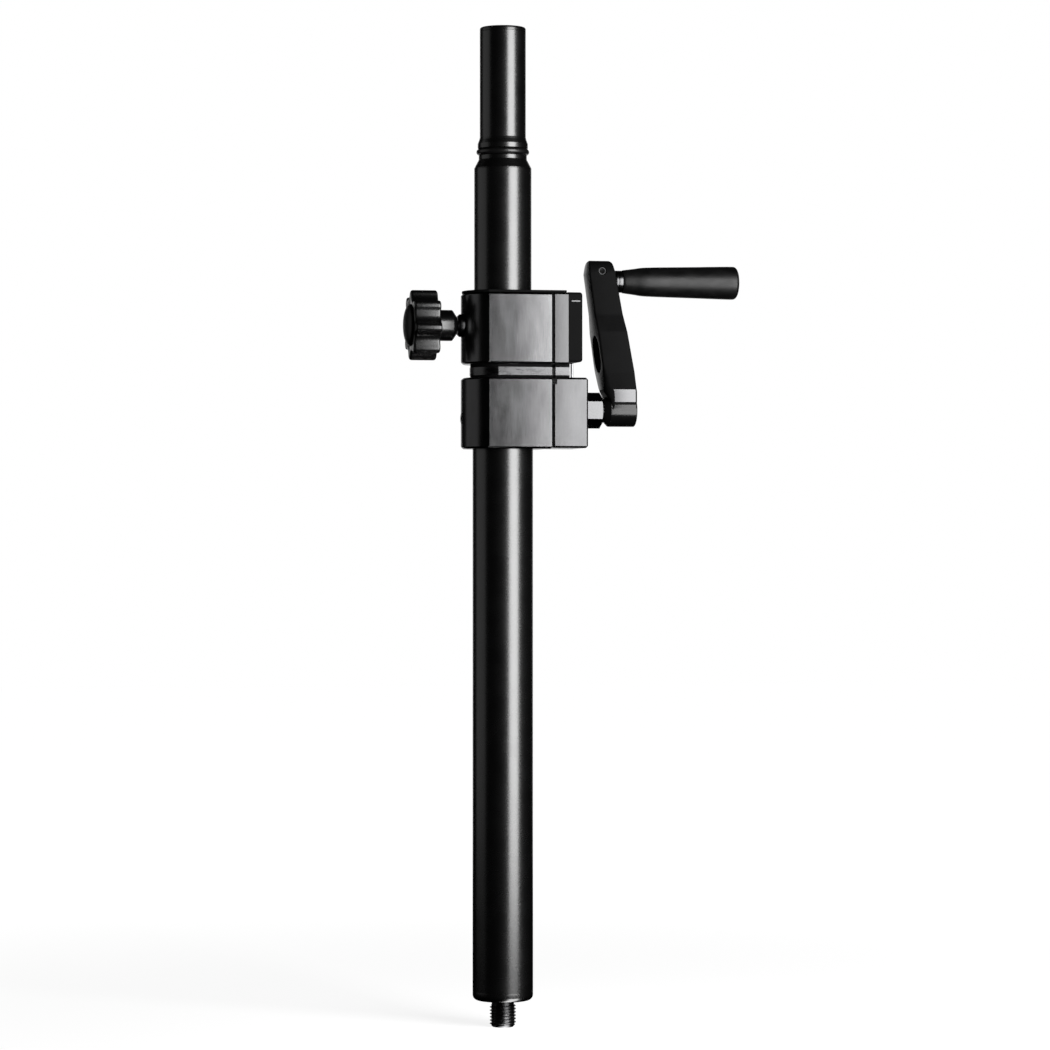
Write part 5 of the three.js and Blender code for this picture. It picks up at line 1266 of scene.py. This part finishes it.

# %% [markdown]
# ## Stage, light and camera
# The photograph was taken level and from a long way off, twelve degrees round to the left, with the
# pole a little left of the middle. A narrow light stands close by on the right, so its streak runs down
# every tube and fades across the flat faces. The side of the studio behind the camera is dark, and the
# backdrop is white. A black coat that mirrors white all round would look grey, so the white panel behind
# the pole is hardly wider than the view. A small patch of floor at the foot glows eight times white, a
# painted reflection of the lamp on the rounded end of the tube. Only mirrored rays meet the panel and the
# patch.

# %% Camera
VIEW = math.radians(-12)
DISTANCE = 2.9
AIM_RIGHT = 0.0169
AIM_HEIGHT = 0.3817
LENS = 130.6
SENSOR = 36
toward = np.array([-math.sin(VIEW), math.cos(VIEW), 0.0])
rightward = np.array([math.cos(VIEW), math.sin(VIEW), 0.0])
aim = rightward * AIM_RIGHT + np.array([0, 0, AIM_HEIGHT])
camera_data = bpy.data.cameras.new("camera")
camera_data.lens = LENS
camera_data.sensor_width = SENSOR
camera = bpy.data.objects.new("camera", camera_data)
camera.location = aim - toward * DISTANCE
camera.rotation_euler = (math.pi / 2, 0, VIEW)
bpy.context.scene.collection.objects.link(camera)
bpy.context.scene.camera = camera

# %% Lights
STREAK = 31


def area_light(name, azimuth, distance, height, size, power):
    """An upright lamp at an azimuth round the pole, turned to face it."""
    lamp = bpy.data.lights.new(name, "AREA")
    lamp.shape = "RECTANGLE"
    lamp.size, lamp.size_y = size
    lamp.energy = power
    thing = bpy.data.objects.new(name, lamp)
    turn = math.radians(azimuth)
    thing.location = (math.sin(turn) * distance, -math.cos(turn) * distance, height)
    thing.rotation_euler = (math.pi / 2, 0, turn)
    bpy.context.scene.collection.objects.link(thing)


area_light("streak", STREAK, distance=0.9, height=0.525, size=(0.585, 1.05), power=18.5)
area_light("left", -106, distance=1.4, height=0.75, size=(1.3, 1.5), power=1.9)

# %% The studio round the pole
WHITE = (1, 1, 1, 1)
world = bpy.data.worlds.new("studio")
bpy.context.scene.world = world
world.use_nodes = True
nodes, links = world.node_tree.nodes, world.node_tree.links
background = nodes["Background"]
place = nodes.new("ShaderNodeTexCoord")
facing = nodes.new("ShaderNodeVectorMath")
facing.operation = "DOT_PRODUCT"
facing.inputs[1].default_value = tuple(toward)
links.new(place.outputs["Generated"], facing.inputs[0])


def eased(value, low, high, result_low, result_high):
    """A smooth step from one result to another while the value goes from low to high."""
    step = nodes.new("ShaderNodeMapRange")
    step.interpolation_type = "SMOOTHSTEP"
    settings = {"From Min": low, "From Max": high, "To Min": result_low, "To Max": result_high}
    for label, number in settings.items():
        step.inputs[label].default_value = number
    links.new(value, step.inputs["Value"])
    return step.outputs["Result"]


def joined(operation, first, second):
    """A math node of two values."""
    node = nodes.new("ShaderNodeMath")
    node.operation = operation
    links.new(first, node.inputs[0])
    links.new(second, node.inputs[1])
    return node.outputs[0]


# The dusk's strength right behind the pole, and the cosines between which the white panel fades in
DUSK = 0.012
PANEL_EDGE = (0.88, 0.97)
dusk = eased(facing.outputs["Value"], 0.0, 1.0, 0.0, DUSK)
panel = eased(facing.outputs["Value"], *PANEL_EDGE, 0.0, 1.0)
path = nodes.new("ShaderNodeLightPath")
seen = joined("MAXIMUM", path.outputs["Is Camera Ray"], path.outputs["Is Transmission Ray"])
mirrored = joined("MULTIPLY", path.outputs["Is Glossy Ray"], panel)
links.new(joined("MAXIMUM", joined("MAXIMUM", seen, mirrored), dusk), background.inputs["Strength"])
background.inputs["Color"].default_value = WHITE

# %% The floor
FLOOR_HALF = 6.0
FLOOR_ROUGHNESS = 0.9
corners = [(x * FLOOR_HALF, y * FLOOR_HALF, 0) for x, y in ((-1, -1), (1, -1), (1, 1), (-1, 1))]
floor_mesh = bpy.data.meshes.new("floor")
floor_mesh.from_pydata(corners, [], [(0, 1, 2, 3)])
floor = bpy.data.objects.new("floor", floor_mesh)
bpy.context.scene.collection.objects.link(floor)
floor_material = bpy.data.materials.new("floor")
floor_material.use_nodes = True
nodes, links = floor_material.node_tree.nodes, floor_material.node_tree.links
shader = nodes["Principled BSDF"]
shader.inputs["Roughness"].default_value = FLOOR_ROUGHNESS
shader.inputs["Specular IOR Level"].default_value = 0.0


def measured(operation, direction):
    """The floor's own coordinates, measured along a direction, or from the foot for LENGTH."""
    node = nodes.new("ShaderNodeVectorMath")
    node.operation = operation
    links.new(place.outputs["Object"], node.inputs[0])
    node.inputs[1].default_value = direction
    return node.outputs["Value"]


def shifted(value, factor, offset):
    """factor * value + offset."""
    node = nodes.new("ShaderNodeMath")
    node.operation = "MULTIPLY_ADD"
    links.new(value, node.inputs[0])
    node.inputs[1].default_value, node.inputs[2].default_value = factor, offset
    return node.outputs[0]


# %% What the floor shows to the eye and to mirrored rays
# How grey the floor is under the lamps, and how white it glows near the foot and further out
FLOOR_GREY = 0.3
GLOW_NEAR = 0.87
GLOW_EDGE = (0.25, 1.2)
# Where the mirrored part of the floor begins behind the pole, and how wide it is as a share of the depth
BEHIND_EDGE = (0.8, 2.0)
SIDE_EDGE = (0.25, 0.5)
# The painted reflection patch: its strength, its sector's half width as a share of the way out, its shift and
# its outer edge
GLINT_GLOW = 8.0
GLINT_SHARE = 0.33
GLINT_SHIFT = 0.0045
GLINT_BLUR = 0.003
GLINT_EDGE = (0.05, 0.07)

place = nodes.new("ShaderNodeTexCoord")
path = nodes.new("ShaderNodeLightPath")
mirror = path.outputs["Is Glossy Ray"]
seen = joined("MAXIMUM", path.outputs["Is Camera Ray"], path.outputs["Is Transmission Ray"])
links.new(shifted(seen, FLOOR_GREY, 0.0), shader.inputs["Base Color"])
pale = joined("MULTIPLY", seen, eased(measured("LENGTH", (0, 0, 0)), *GLOW_EDGE, GLOW_NEAR, 1.0))
depth = measured("DOT_PRODUCT", tuple(toward))
side = joined("DIVIDE", measured("DOT_PRODUCT", tuple(rightward)), depth)
narrow, wide = SIDE_EDGE
near_axis = joined("MULTIPLY", eased(side, -wide, -narrow, 0.0, 1.0), eased(side, narrow, wide, 1.0, 0.0))
behind = joined("MULTIPLY", near_axis, eased(depth, *BEHIND_EDGE, 0.0, 1.0))
streak = math.radians(STREAK)
outward = measured("DOT_PRODUCT", (math.sin(streak), -math.cos(streak), 0))
aside = measured("DOT_PRODUCT", (math.cos(streak), math.sin(streak), 0))
distance = nodes.new("ShaderNodeMath")
distance.operation = "ABSOLUTE"
links.new(shifted(aside, 1.0, GLINT_SHIFT), distance.inputs[0])
# A glowing sector of floor towards the lamp, seen only by mirrored rays: a painted reflection of the lamp on
# the tube's foot
inside = joined("SUBTRACT", shifted(outward, GLINT_SHARE, 0.0), distance.outputs[0])
sector = eased(inside, -GLINT_BLUR, GLINT_BLUR, 0.0, GLINT_GLOW)
painted_glint = joined("MULTIPLY", sector, eased(outward, *GLINT_EDGE, 1.0, 0.0))
lit = joined("MULTIPLY", mirror, joined("MAXIMUM", behind, painted_glint))
shader.inputs["Emission Color"].default_value = WHITE
links.new(joined("MAXIMUM", pale, lit), shader.inputs["Emission Strength"])
floor_mesh.materials.append(floor_material)

bpy.context.scene.view_settings.view_transform = "Standard"
